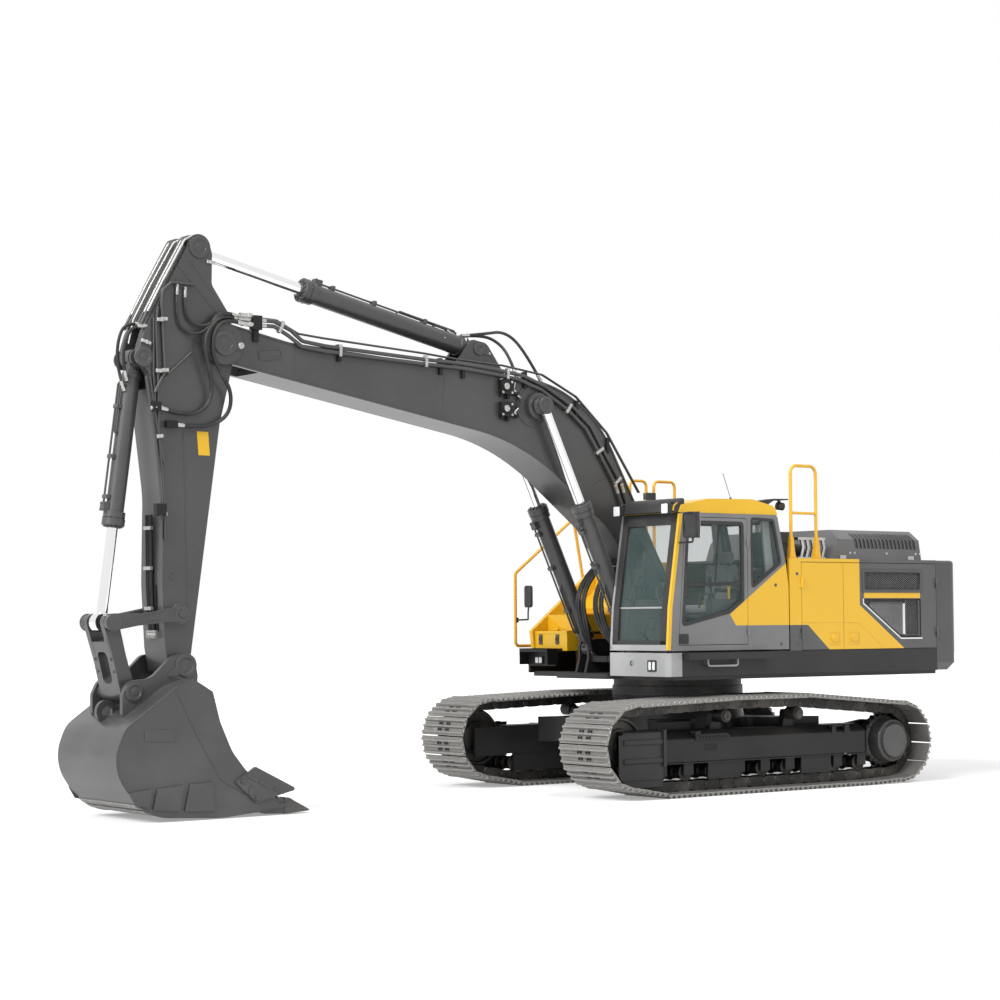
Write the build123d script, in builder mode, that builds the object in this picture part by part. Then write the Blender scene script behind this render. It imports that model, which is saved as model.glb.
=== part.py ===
from build123d import *
from math import atan2, cos, degrees, hypot, radians, sin
import os

# Crawler excavator, 36-tonne class. Millimetres, +X forward, +Y left, +Z up.
# The origin is the swing axis on the ground. The upper structure faces forward.

os.makedirs("parts", exist_ok=True)

# Pivots, as (x, z) in the side view
BOOM_FOOT = (410, 2080)
BOOM_TIP = (6290, 4735)
BOOM_CYL_BASE = (990, 1600)
BOOM_CYL_EYE = (2280, 4305)
ARM_CYL_BASE = (2990, 4915)
ARM_CYL_EYE = (6530, 5705)
BUCKET_CYL_BASE = (7150, 4555)
GUIDE_PIN = (6745, 2012)
BUCKET_PIN = (6745, 1500)
LINK_FOOT_PIN = (7310, 1252)
LINK_TOP_PIN = (7498, 1931)

# Clearances
PIN_FIT = 0.05  # radial, a pin in its bore
SIDE_GAP = 6  # beside a moving eye or link
SEAT_GAP = 0.3  # between faces that meet across a joint
PANEL_GAP = 6  # round a door or lid
HINGE_RADIUS = 13
HINGE_LENGTH = 60
HINGE_LEAF = 5
HINGE_PIN = 6
ROLLER_GAP = 0.9  # a top roller below the bent chain

# Undercarriage
TRACK_GAUGE = 2590
SHOE_WIDTH = 800
SHOE_THICKNESS = 14
GROUSER_HEIGHT = 34
GROUSER_BASE = 44
GROUSER_TOP = 16
SHOE_COUNT = 48
CHAIN_WIDTH = 240
CHAIN_RAIL_DEPTH = 50  # pin line to the rail that rolls on the rollers
CHAIN_OUTER_DEPTH = 60  # pin line to the shoe
WHEEL_PITCH_RADIUS = 362
IDLER = (2035, 565)
SPROCKET = (-2030, 490)
TOP_ROLLER_X = (-566, 550)
TOP_ROLLER_Z = 852
TOP_ROLLER_RADIUS = 72
BOTTOM_ROLLER_RADIUS = 98
BOTTOM_ROLLER_COUNT = 9
BOTTOM_ROLLER_SPAN = 3060
BOTTOM_BEND_REACH = 20  # the chain stays flat past the end rollers
SPROCKET_TEETH = 21
HUB_RADIUS = 243
TRACK_FRAME_WIDTH = 400
TRACK_FRAME_BOTTOM = 372
TRACK_FRAME_SHOULDER = 620
GUARD_BOTTOM = 168
GUARD_X = (-790, 630)
TRACK_FRAME_TOP = 700
GROUND_CLEARANCE = 500
TOW_EYE_X = 915
TOW_EYE_BOTTOM = 560
TOW_EYE_RADIUS = 35
TOW_EYE_THICKNESS = 60
BEARING_RADIUS = 765
BEARING_BOTTOM = 1060
BEARING_HEIGHT = 200

# Upper structure
BODY_WIDTH = 2990
BODY_TOP = 2616
SKIRT_BOTTOM = 1300
SKIRT_TOP = 1564
PANEL_THICKNESS = 40
SKIRT_THICKNESS = 30
STEP_REACH = 100
CAB_RIGHT = 503
CAB_FRONT = 1440
CAB_REAR = -380
CAB_FLOOR = 1580
CAB_WALL = 60
TAIL_RADIUS = 3500
COUNTERWEIGHT_DEPTH = 670
COUNTERWEIGHT_FRONT = COUNTERWEIGHT_DEPTH - TAIL_RADIUS
ENGINE_BOTTOM = 1420
GLASS_THICKNESS = 6
PANE_DEPTH = 24  # outer face of the glass below the wall's face

# Work equipment
BOOM_WIDTH = 540
BOOM_WEB = 14
BOOM_FLANGE = 18
FLANGE_LIP = 12
NOSE_SLOT_RADIUS = 520
ARM_WIDTH = 440
ARM_WEB = 12
EAR_THICKNESS = 60
BUCKET_EAR_THICKNESS = 53
LINK_FOOT_RADIUS = 80
LINK_WEB = 90  # between the link's two openings
LINK_LEG = 120
CYLINDER_EYE_WIDTH = 136
BUCKET_WIDTH = 1250
BUCKET_PLATE = 22
CUTTER_THICKNESS = 30
LIFT_EYE = (7440, 1058)
LIFT_EYE_RADIUS = 115


def left(y):
    """The side view's plane at y."""
    return Plane.XZ.offset(-y)


def along(pivot, offsets):
    """Corners given as (dx, dz, radius) from a pivot."""
    return [(pivot[0] + dx, pivot[1] + dz, r) for dx, dz, r in offsets]


def face(corners):
    """A face from (across, up, radius) corners, rounded where the radius isn't 0."""
    with BuildSketch() as outline:
        with BuildLine():
            points = [(a, b) for a, b, r in corners]
            FilletPolyline(*points, radius=[r for a, b, r in corners], close=True)
        make_face()
    return outline.sketch


def slab(corners, y_low, y_high):
    """A plate with its outline in the side view."""
    with BuildPart() as plate:
        with BuildSketch(left(y_high)):
            add(face(corners))
        extrude(amount=y_high - y_low)
    return plate.part


def board(corners, z_low, z_high):
    """A plate with its outline in the plan view."""
    with BuildPart() as plate:
        with BuildSketch(Plane.XY.offset(z_low)):
            add(face(corners))
        extrude(amount=z_high - z_low)
    return plate.part


def wall(corners, x_low, x_high):
    """A plate with its outline in the front view, as (y, z, radius)."""
    with BuildPart() as plate:
        with BuildSketch(Plane.YZ.offset(x_low)):
            add(face(corners))
        extrude(amount=x_high - x_low)
    return plate.part


def block(x, y, z):
    """A box from three (low, high) pairs."""
    return board([(x[0], y[0], 0), (x[1], y[0], 0), (x[1], y[1], 0), (x[0], y[1], 0)], *z)


def cross_pin(pivot, radius, y_low, y_high):
    """A round bar across the machine at a side-view point."""
    with BuildPart() as bar:
        with BuildSketch(left(y_high)):
            with Locations(pivot):
                Circle(radius)
        extrude(amount=y_high - y_low)
    return bar.part


def tube_path(points, bend, radius):
    """A round rail through points, with bends of one radius."""
    with BuildPart() as rail:
        with BuildLine() as path:
            if len(points) == 2:
                Line(*points)
            else:
                FilletPolyline(*points, radius=bend)
        with BuildSketch(Plane(origin=path.line @ 0, z_dir=path.line % 0)):
            Circle(radius)
        sweep()
    return rail.part


def mirrored(part):
    """The same piece on the other side of the machine."""
    return mirror(part, about=Plane.XZ, mode=Mode.PRIVATE)


def save(piece, name):
    """Labels a piece and writes it to its own file."""
    piece.label = name
    export_step(piece, f"parts/{name}.step")


def between(a, b, along_line, offset=0):
    """A side-view point at a distance along a to b, and a distance to its left."""
    length = hypot(b[0] - a[0], b[1] - a[1])
    ux, uz = (b[0] - a[0]) / length, (b[1] - a[1]) / length
    return (a[0] + ux * along_line - uz * offset, a[1] + uz * along_line + ux * offset)


def span(a, b):
    return hypot(b[0] - a[0], b[1] - a[1])


def rod_plane(a, b, y, distance):
    """A plane square to the line a to b at a distance along it."""
    x, z = between(a, b, distance)
    return Plane(origin=(x, y, z), z_dir=(b[0] - a[0], 0, b[1] - a[1]), x_dir=(0, 1, 0))


def leaf(u, v, low, high, plane):
    """A hinge's leaf with its knuckle, as (low, high) pairs square to the hinge's line."""
    with BuildPart() as half:
        with BuildSketch(plane.offset(low)):
            Circle(HINGE_RADIUS)
            with Locations(((u[0] + u[1]) / 2, (v[0] + v[1]) / 2)):
                Rectangle(u[1] - u[0], v[1] - v[0])
        extrude(amount=high - low)
    return half.part


def fixed_half(plane, place, u, v):
    """The half of a hinge that stays, with the pin."""
    with BuildPart() as half:
        add(leaf(u, v, place - HINGE_LENGTH, place - SEAT_GAP, plane))
        with BuildSketch(plane.offset(place - HINGE_LENGTH)):
            Circle(HINGE_PIN)
        extrude(amount=2 * HINGE_LENGTH)
    return half.part


def moving_half(plane, place, u, v):
    """The half of a hinge that turns on the pin."""
    with BuildPart() as half:
        add(leaf(u, v, place, place + HINGE_LENGTH, plane))
        with BuildSketch(plane.offset(place)):
            Circle(HINGE_PIN + PIN_FIT)
        extrude(amount=HINGE_LENGTH, mode=Mode.SUBTRACT)
    return half.part


# Leaves that lie on the panel's face, towards either side of the hinge's line
leaf_depth = (-HINGE_RADIUS, -HINGE_RADIUS + HINGE_LEAF)
leaf_within = (HINGE_RADIUS - HINGE_LEAF, HINGE_RADIUS)
leaf_ahead = (0, 45)
leaf_behind = (-45, 0)
half_body = BODY_WIDTH / 2


def cross_hinge(x, z):
    """The plane across a hinge that lies across the machine: ahead is forward, up is up."""
    return Plane(origin=(x, 0, z), x_dir=(1, 0, 0), z_dir=(0, -1, 0))


def upright_hinge(x, side):
    """The plane across an upright hinge on the body's side face: ahead is forward, up is outward."""
    return Plane(origin=(x, side * (half_body + HINGE_RADIUS), 0), x_dir=(1, 0, 0), z_dir=(0, 0, 1))


# Track path: the line through the chain's pins
half_gauge = TRACK_GAUGE / 2
tip_depth = CHAIN_OUTER_DEPTH + SHOE_THICKNESS + GROUSER_HEIGHT
bottom_line = tip_depth
top_line = TOP_ROLLER_Z + TOP_ROLLER_RADIUS + CHAIN_RAIL_DEPTH
roller_reach = BOTTOM_ROLLER_SPAN / 2
bottom_roller_z = bottom_line + CHAIN_RAIL_DEPTH + BOTTOM_ROLLER_RADIUS


def tangent_angle(circle, radius, point, side):
    """The angle on a circle where a line from point touches it."""
    dx, dz = point[0] - circle[0], point[1] - circle[1]
    spread = degrees(atan2((dx * dx + dz * dz - radius * radius) ** 0.5, radius))
    return degrees(atan2(dz, dx)) + side * spread


def on_circle(circle, radius, angle):
    return (circle[0] + radius * cos(radians(angle)), circle[1] + radius * sin(radians(angle)))


bend_reach = roller_reach + BOTTOM_BEND_REACH
bottom_ends = ((-bend_reach, bottom_line), (bend_reach, bottom_line))
top_ends = ((TOP_ROLLER_X[1], top_line), (TOP_ROLLER_X[0], top_line))


def track_wire(depth):
    """The chain's closed path, moved outward by depth, counter-clockwise from the ground."""
    radius = WHEEL_PITCH_RADIUS + depth
    low = tuple((x, z - depth) for x, z in bottom_ends)
    high = tuple((x, z + depth) for x, z in top_ends)
    front_in = on_circle(IDLER, radius, tangent_angle(IDLER, radius, low[1], 1))
    front_out = on_circle(IDLER, radius, tangent_angle(IDLER, radius, high[0], -1))
    rear_in = on_circle(SPROCKET, radius, tangent_angle(SPROCKET, radius, high[1], 1))
    rear_out = on_circle(SPROCKET, radius, tangent_angle(SPROCKET, radius, low[0], -1))
    with BuildLine() as path:
        Line(low[0], low[1])
        Line(low[1], front_in)
        ThreePointArc(front_in, on_circle(IDLER, radius, 0), front_out)
        Line(front_out, high[0])
        Line(high[0], high[1])
        Line(high[1], rear_in)
        ThreePointArc(rear_in, on_circle(SPROCKET, radius, 180), rear_out)
        Line(rear_out, low[0])
    return path.line.wires()[0]


def shoe_outline():
    """The loop's outer edge, with three grousers on each shoe."""
    path = track_wire(CHAIN_OUTER_DEPTH + SHOE_THICKNESS)
    pitch = path.length / SHOE_COUNT
    # a grouser's corners: along the shoe from its middle, and its height
    half_base, half_top = GROUSER_BASE / 2, GROUSER_TOP / 2
    corners = []
    for shoe in range(SHOE_COUNT):
        for step in (-1, 0, 1):
            middle = (shoe + 0.5 + step * 0.32) * pitch
            for reach, height in (
                (-half_base, 0),
                (-half_top, GROUSER_HEIGHT),
                (half_top, GROUSER_HEIGHT),
                (half_base, 0),
            ):
                share = ((middle + reach) / path.length) % 1
                at = path @ share
                way = path % share
                corners.append((at.X + way.Y * height, at.Y - way.X * height))
    return corners


with BuildPart() as track_left:
    with BuildSketch(left(half_gauge + SHOE_WIDTH / 2)):
        with BuildLine():
            Polyline(*shoe_outline(), close=True)
        make_face()
        with BuildLine():
            add(track_wire(CHAIN_OUTER_DEPTH))
        make_face(mode=Mode.SUBTRACT)
    extrude(amount=SHOE_WIDTH)
    with BuildSketch(left(half_gauge + CHAIN_WIDTH / 2)):
        with BuildLine():
            add(track_wire(CHAIN_OUTER_DEPTH))
        make_face()
        with BuildLine():
            add(track_wire(-CHAIN_RAIL_DEPTH))
        make_face(mode=Mode.SUBTRACT)
    extrude(amount=CHAIN_WIDTH)
save(track_left.part, "track_left")
save(mirrored(track_left.part), "track_right")

# Wheels inside the track
rail_radius = WHEEL_PITCH_RADIUS - CHAIN_RAIL_DEPTH - SEAT_GAP
wheel_width = CHAIN_WIDTH - 60
with BuildPart() as idler_left:
    add(cross_pin(IDLER, rail_radius, half_gauge - wheel_width / 2, half_gauge + wheel_width / 2))
    add(cross_pin(IDLER, 70, half_gauge - 158 + SEAT_GAP, half_gauge + 158 - SEAT_GAP))
save(idler_left.part, "idler_left")
save(mirrored(idler_left.part), "idler_right")

with BuildPart() as sprocket_left:
    add(cross_pin(SPROCKET, rail_radius - 20, half_gauge - 45, half_gauge + 45))
    with BuildSketch(left(half_gauge + 40)):
        with Locations(SPROCKET):
            with PolarLocations(rail_radius - 30, SPROCKET_TEETH):
                Trapezoid(64, 55, 70, rotation=-90)
    extrude(amount=80)
    add(cross_pin(SPROCKET, 205, half_gauge - 330, half_gauge + 60))
    add(cross_pin(SPROCKET, HUB_RADIUS, half_gauge + 50, half_gauge + 213))
    add(cross_pin(SPROCKET, HUB_RADIUS - 48, half_gauge + 210, half_gauge + 249))
save(sprocket_left.part, "sprocket_left")
save(mirrored(sprocket_left.part), "sprocket_right")

with BuildPart() as rollers_left:
    pitch = BOTTOM_ROLLER_SPAN / (BOTTOM_ROLLER_COUNT - 1)
    for number in range(BOTTOM_ROLLER_COUNT):
        center = (-roller_reach + number * pitch, bottom_roller_z + SEAT_GAP)
        add(cross_pin(center, BOTTOM_ROLLER_RADIUS, half_gauge - 140, half_gauge + 140))
        guard_low, guard_high = half_gauge - 160 + SEAT_GAP, half_gauge + 160 - SEAT_GAP
        add(cross_pin(center, 38, guard_low, guard_high))
    for x in TOP_ROLLER_X:
        center = (x, TOP_ROLLER_Z - ROLLER_GAP)
        add(cross_pin(center, TOP_ROLLER_RADIUS, half_gauge - 30, half_gauge + 170))
save(rollers_left.part, "rollers_left")
save(mirrored(rollers_left.part), "rollers_right")

# Track frame: a beam with a sloped top, the front guard, the idler yoke and the motor bracket
frame_front = IDLER[0] - 330
frame_rear = SPROCKET[0] + 430
half_frame = TRACK_FRAME_WIDTH / 2
with BuildPart() as track_frame_left:
    beam = [
        (half_gauge - half_frame, TRACK_FRAME_BOTTOM, 0),
        (half_gauge + half_frame, TRACK_FRAME_BOTTOM, 0),
        (half_gauge + half_frame, TRACK_FRAME_SHOULDER, 15),
        (half_gauge + 60, TRACK_FRAME_TOP, 20),
        (half_gauge - half_frame, TRACK_FRAME_TOP, 15),
    ]
    add(wall(beam, frame_rear, frame_front))
    # roller guards hang from the beam: one along the inside, short ones outside
    inner_guard = (half_gauge - 190, half_gauge - 160)
    outer_guard = (half_gauge + 160, half_gauge + 190)
    add(block((-roller_reach - 60, roller_reach + 60), inner_guard, (GUARD_BOTTOM, TRACK_FRAME_BOTTOM)))
    for x in GUARD_X:
        add(block((x - 235, x + 235), outer_guard, (GUARD_BOTTOM, TRACK_FRAME_BOTTOM)))
    # the rollers' seats under the beam
    for number in range(BOTTOM_ROLLER_COUNT):
        x = -roller_reach + number * BOTTOM_ROLLER_SPAN / (BOTTOM_ROLLER_COUNT - 1)
        add(block((x - 70, x + 70), (half_gauge + 160, half_gauge + 185), (bottom_roller_z - 30, TRACK_FRAME_BOTTOM)))
    # idler yoke and front cover
    for y in (half_gauge - 200, half_gauge + 158):
        add(block((frame_front - 10, IDLER[0] + 120), (y, y + 42), (IDLER[1] - 210, IDLER[1] + 120)))
    # motor bracket, inside the sprocket
    ring = [
        (frame_rear + 10, TRACK_FRAME_TOP - 20, 0),
        (frame_rear + 10, TRACK_FRAME_BOTTOM, 0),
        (SPROCKET[0] + 40, SPROCKET[1] - 240, 60),
        (SPROCKET[0] - 240, SPROCKET[1] - 200, 120),
        (SPROCKET[0] - 240, SPROCKET[1] + 200, 120),
        (SPROCKET[0] + 60, SPROCKET[1] + 240, 60),
    ]
    add(slab(ring, half_gauge - 260, half_gauge - 200))
    with BuildSketch(left(half_gauge - 190)):
        with Locations(SPROCKET):
            Circle(205 + SEAT_GAP)
    extrude(amount=90, mode=Mode.SUBTRACT)
    # stands for the top rollers
    for x in TOP_ROLLER_X:
        stand = [
            (x - 90, TRACK_FRAME_TOP - 20, 0),
            (x + 90, TRACK_FRAME_TOP - 20, 0),
            (x + 45, TOP_ROLLER_Z + 40, 20),
            (x - 45, TOP_ROLLER_Z + 40, 20),
        ]
        add(slab(stand, half_gauge - 110, half_gauge - 30 - SEAT_GAP))
save(track_frame_left.part, "track_frame_left")
save(mirrored(track_frame_left.part), "track_frame_right")

# Car body: the X-shaped frame between the tracks
frame_side = half_gauge - half_frame - SEAT_GAP
with BuildPart() as car_body:
    legs = [
        (1230, frame_side, 0),
        (760, frame_side, 0),
        (470, 700, 150),
        (-470, 700, 150),
        (-760, frame_side, 0),
        (-1230, frame_side, 0),
        (-720, 330, 200),
        (-720, -330, 200),
        (-1230, -frame_side, 0),
        (-760, -frame_side, 0),
        (-470, -700, 150),
        (470, -700, 150),
        (760, -frame_side, 0),
        (1230, -frame_side, 0),
        (720, -330, 200),
        (720, 330, 200),
    ]
    add(board(legs, GROUND_CLEARANCE, 790))
    with BuildSketch(Plane.XY.offset(GROUND_CLEARANCE + 40)):
        Circle(800)
    with BuildSketch(Plane.XY.offset(BEARING_BOTTOM - 40)):
        Circle(BEARING_RADIUS - 15)
    loft()
    with BuildSketch(Plane.XY.offset(BEARING_BOTTOM - 40)):
        Circle(BEARING_RADIUS)
    extrude(amount=40)
    # towing tongue at the front, between the legs, with an upright eye
    tongue = [
        (650, -130, 0),
        (TOW_EYE_X + 75, -75, 65),
        (TOW_EYE_X + 75, 75, 65),
        (650, 130, 0),
    ]
    add(board(tongue, TOW_EYE_BOTTOM, TOW_EYE_BOTTOM + TOW_EYE_THICKNESS))
    with BuildSketch(Plane.XY.offset(TOW_EYE_BOTTOM)):
        with Locations((TOW_EYE_X, 0)):
            Circle(TOW_EYE_RADIUS)
    extrude(amount=TOW_EYE_THICKNESS, mode=Mode.SUBTRACT)
save(car_body.part, "car_body")

ring_split = BEARING_BOTTOM + BEARING_HEIGHT / 2
with BuildPart() as swing_ring_lower:
    with BuildSketch(Plane.XY.offset(BEARING_BOTTOM)):
        Circle(BEARING_RADIUS)
        Circle(BEARING_RADIUS - 170, mode=Mode.SUBTRACT)
    extrude(amount=BEARING_HEIGHT / 2 - SEAT_GAP)
save(swing_ring_lower.part, "swing_ring_lower")

with BuildPart() as swing_ring_upper:
    with BuildSketch(Plane.XY.offset(ring_split)):
        Circle(BEARING_RADIUS - 15)
        Circle(BEARING_RADIUS - 170, mode=Mode.SUBTRACT)
    extrude(amount=BEARING_HEIGHT / 2)
save(swing_ring_upper.part, "swing_ring_upper")

# Revolving frame: the deck plate with the boom's brackets
deck_bottom = BEARING_BOTTOM + BEARING_HEIGHT
deck_level = deck_bottom + 60
foot_outside = BOOM_WIDTH / 2 + 20
foot_plate = 60
cyl_y = 400
cyl_eye_width = 110
with BuildPart() as main_frame:
    deck = [
        (1340, CAB_RIGHT, 0),
        (1340, half_body - SKIRT_THICKNESS, 0),
        (COUNTERWEIGHT_FRONT, half_body - SKIRT_THICKNESS, 0),
        (COUNTERWEIGHT_FRONT, -half_body + SKIRT_THICKNESS, 0),
        (1000, -half_body + SKIRT_THICKNESS, 0),
        (1000, -CAB_RIGHT, 0),
        (1450, -CAB_RIGHT + 50, 0),
        (1450, CAB_RIGHT - 50, 0),
    ]
    add(board(deck, deck_bottom, deck_level))
    # posts under the cab, and rails under the engine
    for x in (CAB_REAR + 120, CAB_FRONT - 320):
        for y in (CAB_RIGHT + 120, half_body - 160):
            add(block((x - 60, x + 60), (y - 60, y + 60), (deck_level, CAB_FLOOR)))
    for y in (-400, 600):
        add(block((COUNTERWEIGHT_FRONT + 330, -1450), (y - 50, y + 50), (deck_level, ENGINE_BOTTOM)))
    # bracket plates on both sides of the boom's foot, down to the cylinders' base pins
    bracket = [
        (-1300, deck_level, 0),
        (BOOM_CYL_BASE[0] + 150, deck_level, 0),
        (BOOM_CYL_BASE[0] + 105, BOOM_CYL_BASE[1] - 120, 60),
        (BOOM_CYL_BASE[0] + 105, BOOM_CYL_BASE[1] + 105, 100),
        (BOOM_CYL_BASE[0] - 150, BOOM_CYL_BASE[1] + 105, 60),
        (BOOM_FOOT[0] + 200, BOOM_FOOT[1] - 20, 150),
        (BOOM_FOOT[0] + 120, BOOM_FOOT[1] + 190, 120),
        (BOOM_FOOT[0] - 200, BOOM_FOOT[1] + 190, 150),
        (BOOM_FOOT[0] - 700, 1760, 200),
        (-1300, 1600, 0),
    ]
    plate_low = foot_outside + SIDE_GAP
    add(slab(bracket, plate_low, plate_low + 40))
    add(slab(bracket, -plate_low - 40, -plate_low))
    # boom foot pin
    add(cross_pin(BOOM_FOOT, 65, -plate_low - 40, plate_low + 40))
    # outer ears for the boom cylinders, each pin runs from the bracket plate
    lug_low = cyl_y + cyl_eye_width / 2 + SIDE_GAP
    ear = [
        (BOOM_CYL_BASE[0] - 230, deck_level, 0),
        (BOOM_CYL_BASE[0] + 150, deck_level, 0),
        (BOOM_CYL_BASE[0] + 105, BOOM_CYL_BASE[1] - 120, 60),
        (BOOM_CYL_BASE[0] + 105, BOOM_CYL_BASE[1] + 105, 100),
        (BOOM_CYL_BASE[0] - 105, BOOM_CYL_BASE[1] + 105, 100),
        (BOOM_CYL_BASE[0] - 105, BOOM_CYL_BASE[1] - 60, 60),
    ]
    for side in (1, -1):
        low, high = sorted((side * lug_low, side * (lug_low + 40)))
        add(slab(ear, low, high))
        low, high = sorted((side * plate_low, side * (lug_low + 40)))
        add(cross_pin(BOOM_CYL_BASE, 50, low, high))
save(main_frame.part, "main_frame")

# Lower side skirts and the block below the cab's front
with BuildPart() as side_skirts:
    skirt = [
        (COUNTERWEIGHT_FRONT, SKIRT_BOTTOM, 0),
        (1240, SKIRT_BOTTOM, 0),
        (1240, SKIRT_TOP, 0),
        (COUNTERWEIGHT_FRONT, SKIRT_TOP, 0),
    ]
    right_skirt = [
        (COUNTERWEIGHT_FRONT, SKIRT_BOTTOM, 0),
        (1060, SKIRT_BOTTOM, 0),
        (1060, SKIRT_TOP, 0),
        (COUNTERWEIGHT_FRONT, SKIRT_TOP, 0),
    ]
    add(slab(skirt, half_body - SKIRT_THICKNESS, half_body))
    add(slab(right_skirt, -half_body, -half_body + SKIRT_THICKNESS))
    # step below the cab's door
    add(block((-29, 1221), (half_body - 10, half_body + STEP_REACH), (1483, SKIRT_TOP - 10)))
save(side_skirts.part, "side_skirts")

with BuildPart() as front_block:
    nose = [
        (1340, CAB_RIGHT, 0),
        (1340, half_body, 0),
        (1400, half_body, 25),
        (1440, half_body - 60, 40),
        (1440, CAB_RIGHT, 0),
    ]
    add(board(nose, SKIRT_BOTTOM, SKIRT_TOP - 4))
    add(block((1240, 1340), (half_body - SKIRT_THICKNESS, half_body), (SKIRT_BOTTOM, SKIRT_TOP - 4)))
save(front_block.part, "front_block")

# Doors' seams and hinges
door_seam = -1258
strip_front, strip_rear = -400, -585
rear_hinge_x = COUNTERWEIGHT_FRONT + PANEL_GAP / 2
front_hinge_x = strip_rear
pump_seam = COUNTERWEIGHT_FRONT + 150
pump_hinge_x = pump_seam + PANEL_GAP / 2
cab_hinge_x = 250 + PANEL_GAP / 2
door_hinges = (1760, 2340)
cab_hinges = (1800, 2800)

# Counterweight: a rounded tail, tapered below
with BuildPart() as counterweight:
    with BuildSketch(Plane.XY.offset(SKIRT_BOTTOM)):
        Circle(TAIL_RADIUS)
        with Locations((COUNTERWEIGHT_FRONT - 1000, 0)):
            Rectangle(2000, BODY_WIDTH, mode=Mode.INTERSECT)
    extrude(amount=BODY_TOP - SKIRT_BOTTOM)
    corners_up = counterweight.edges().filter_by(Axis.Z).group_by(Axis.X)[0]
    fillet(corners_up, 120)
    chamfer(counterweight.faces().sort_by(Axis.Z)[0].edges().sort_by(Axis.X)[0], 90)
    fillet(counterweight.faces().sort_by(Axis.Z)[-1].edges().sort_by(Axis.X)[0], 40)
    for z in door_hinges:
        add(fixed_half(upright_hinge(rear_hinge_x, 1), z, leaf_behind, leaf_depth))
save(counterweight.part, "counterweight")

# Left side: fixed strips and two doors; the rear door carries the grilles
with BuildPart() as left_panels:
    panel_y = (half_body - PANEL_THICKNESS, half_body)
    add(block((strip_rear + PANEL_GAP / 2, strip_front), panel_y, (SKIRT_TOP, BODY_TOP)))
    add(block((COUNTERWEIGHT_FRONT, -580), (half_body - 150, half_body), (BODY_TOP - 40, BODY_TOP)))
    for z in door_hinges:
        add(fixed_half(upright_hinge(front_hinge_x, 1), z, leaf_ahead, leaf_depth))
save(left_panels.part, "left_panels")

door_top = BODY_TOP - 40 - PANEL_GAP
front_door_x = (door_seam + PANEL_GAP / 2, strip_rear - PANEL_GAP / 2)
rear_door_x = (COUNTERWEIGHT_FRONT + PANEL_GAP, door_seam - PANEL_GAP / 2)
door_y = (half_body - PANEL_THICKNESS, half_body)
with BuildPart() as side_door_front:
    add(block(front_door_x, door_y, (SKIRT_TOP + PANEL_GAP, door_top)))
    for z in door_hinges:
        add(moving_half(upright_hinge(front_hinge_x, 1), z, leaf_behind, leaf_depth))
save(side_door_front.part, "side_door_front")

with BuildPart() as side_door_rear:
    add(block(rear_door_x, door_y, (SKIRT_TOP + PANEL_GAP, door_top)))
    for z in door_hinges:
        add(moving_half(upright_hinge(rear_hinge_x, 1), z, leaf_ahead, leaf_depth))
    grille_rear = COUNTERWEIGHT_FRONT + 270
    upper = [(grille_rear, 2245, 20), (-1590, 2245, 20), (-1590, 2480, 20), (grille_rear, 2480, 20)]
    lower = [
        (grille_rear, 1700, 20),
        (grille_rear + 345, 1700, 20),
        (-1590, 2110, 20),
        (-1590, 2155, 20),
        (grille_rear, 2155, 20),
    ]
    for opening in (upper, lower):
        add(slab(opening, door_y[0] + 12, half_body + 5), mode=Mode.SUBTRACT)
save(side_door_rear.part, "side_door_rear")

# Right side: tool box, stairs, tanks and the pump room's door
riser_x, lid_rear, lid_top = 800, 816, 1797
lid_hinge = cross_hinge(riser_x + HINGE_RADIUS + SEAT_GAP, lid_top + HINGE_RADIUS)
lid_hinges = (-half_body + 515, -half_body + 215)
leaf_on_riser = (-HINGE_RADIUS - SEAT_GAP, -HINGE_RADIUS + HINGE_LEAF)
tank_right = -half_body
tank_left = tank_right + 875
box_left = tank_right + 675
with BuildPart() as fuel_tank:
    side = [
        (-700, SKIRT_TOP, 0),
        (350, SKIRT_TOP, 0),
        (350, 2070, 0),
        (60, 2300, 0),
        (60, BODY_TOP, 30),
        (-700, BODY_TOP, 0),
    ]
    add(slab(side, tank_right + 60, tank_left))
    add(block((-700, 350), (tank_right + SKIRT_THICKNESS, tank_left), (deck_level, SKIRT_TOP)))
    stringer = [
        (350, SKIRT_TOP, 0),
        (1010, SKIRT_TOP, 0),
        (1045, 1797, 20),
        (0, BODY_TOP, 60),
        (-100, BODY_TOP, 0),
        (-100, SKIRT_TOP, 0),
    ]
    add(slab(stringer, tank_right, tank_right + 60))
    add(block((340, riser_x), (tank_right + 50, tank_left - 80), (1790, 1990)))
    for y in lid_hinges:
        add(fixed_half(lid_hinge, -y, leaf_on_riser, (0, 40)))
save(fuel_tank.part, "fuel_tank")

with BuildPart() as tool_box:
    add(block((350, 1000), (tank_right + 60, box_left), (SKIRT_TOP, 1762)))
    add(block((380, 975), (tank_right + 90, box_left - 25), (SKIRT_TOP + 20, 1770)), mode=Mode.SUBTRACT)
save(tool_box.part, "tool_box")

with BuildPart() as tool_box_lid:
    add(block((lid_rear, 1006), (tank_right + 66, box_left), (1762 + SEAT_GAP, lid_top)))
    for y in lid_hinges:
        add(moving_half(lid_hinge, -y, leaf_ahead, leaf_depth))
save(tool_box_lid.part, "tool_box_lid")

with BuildPart() as hydraulic_tank:
    add(block((-1292, -700), (tank_right, tank_left), (SKIRT_TOP, BODY_TOP)))
    add(block((-1292, -700), (tank_right + SKIRT_THICKNESS, tank_left), (deck_level, SKIRT_TOP)))
save(hydraulic_tank.part, "hydraulic_tank")

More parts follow.
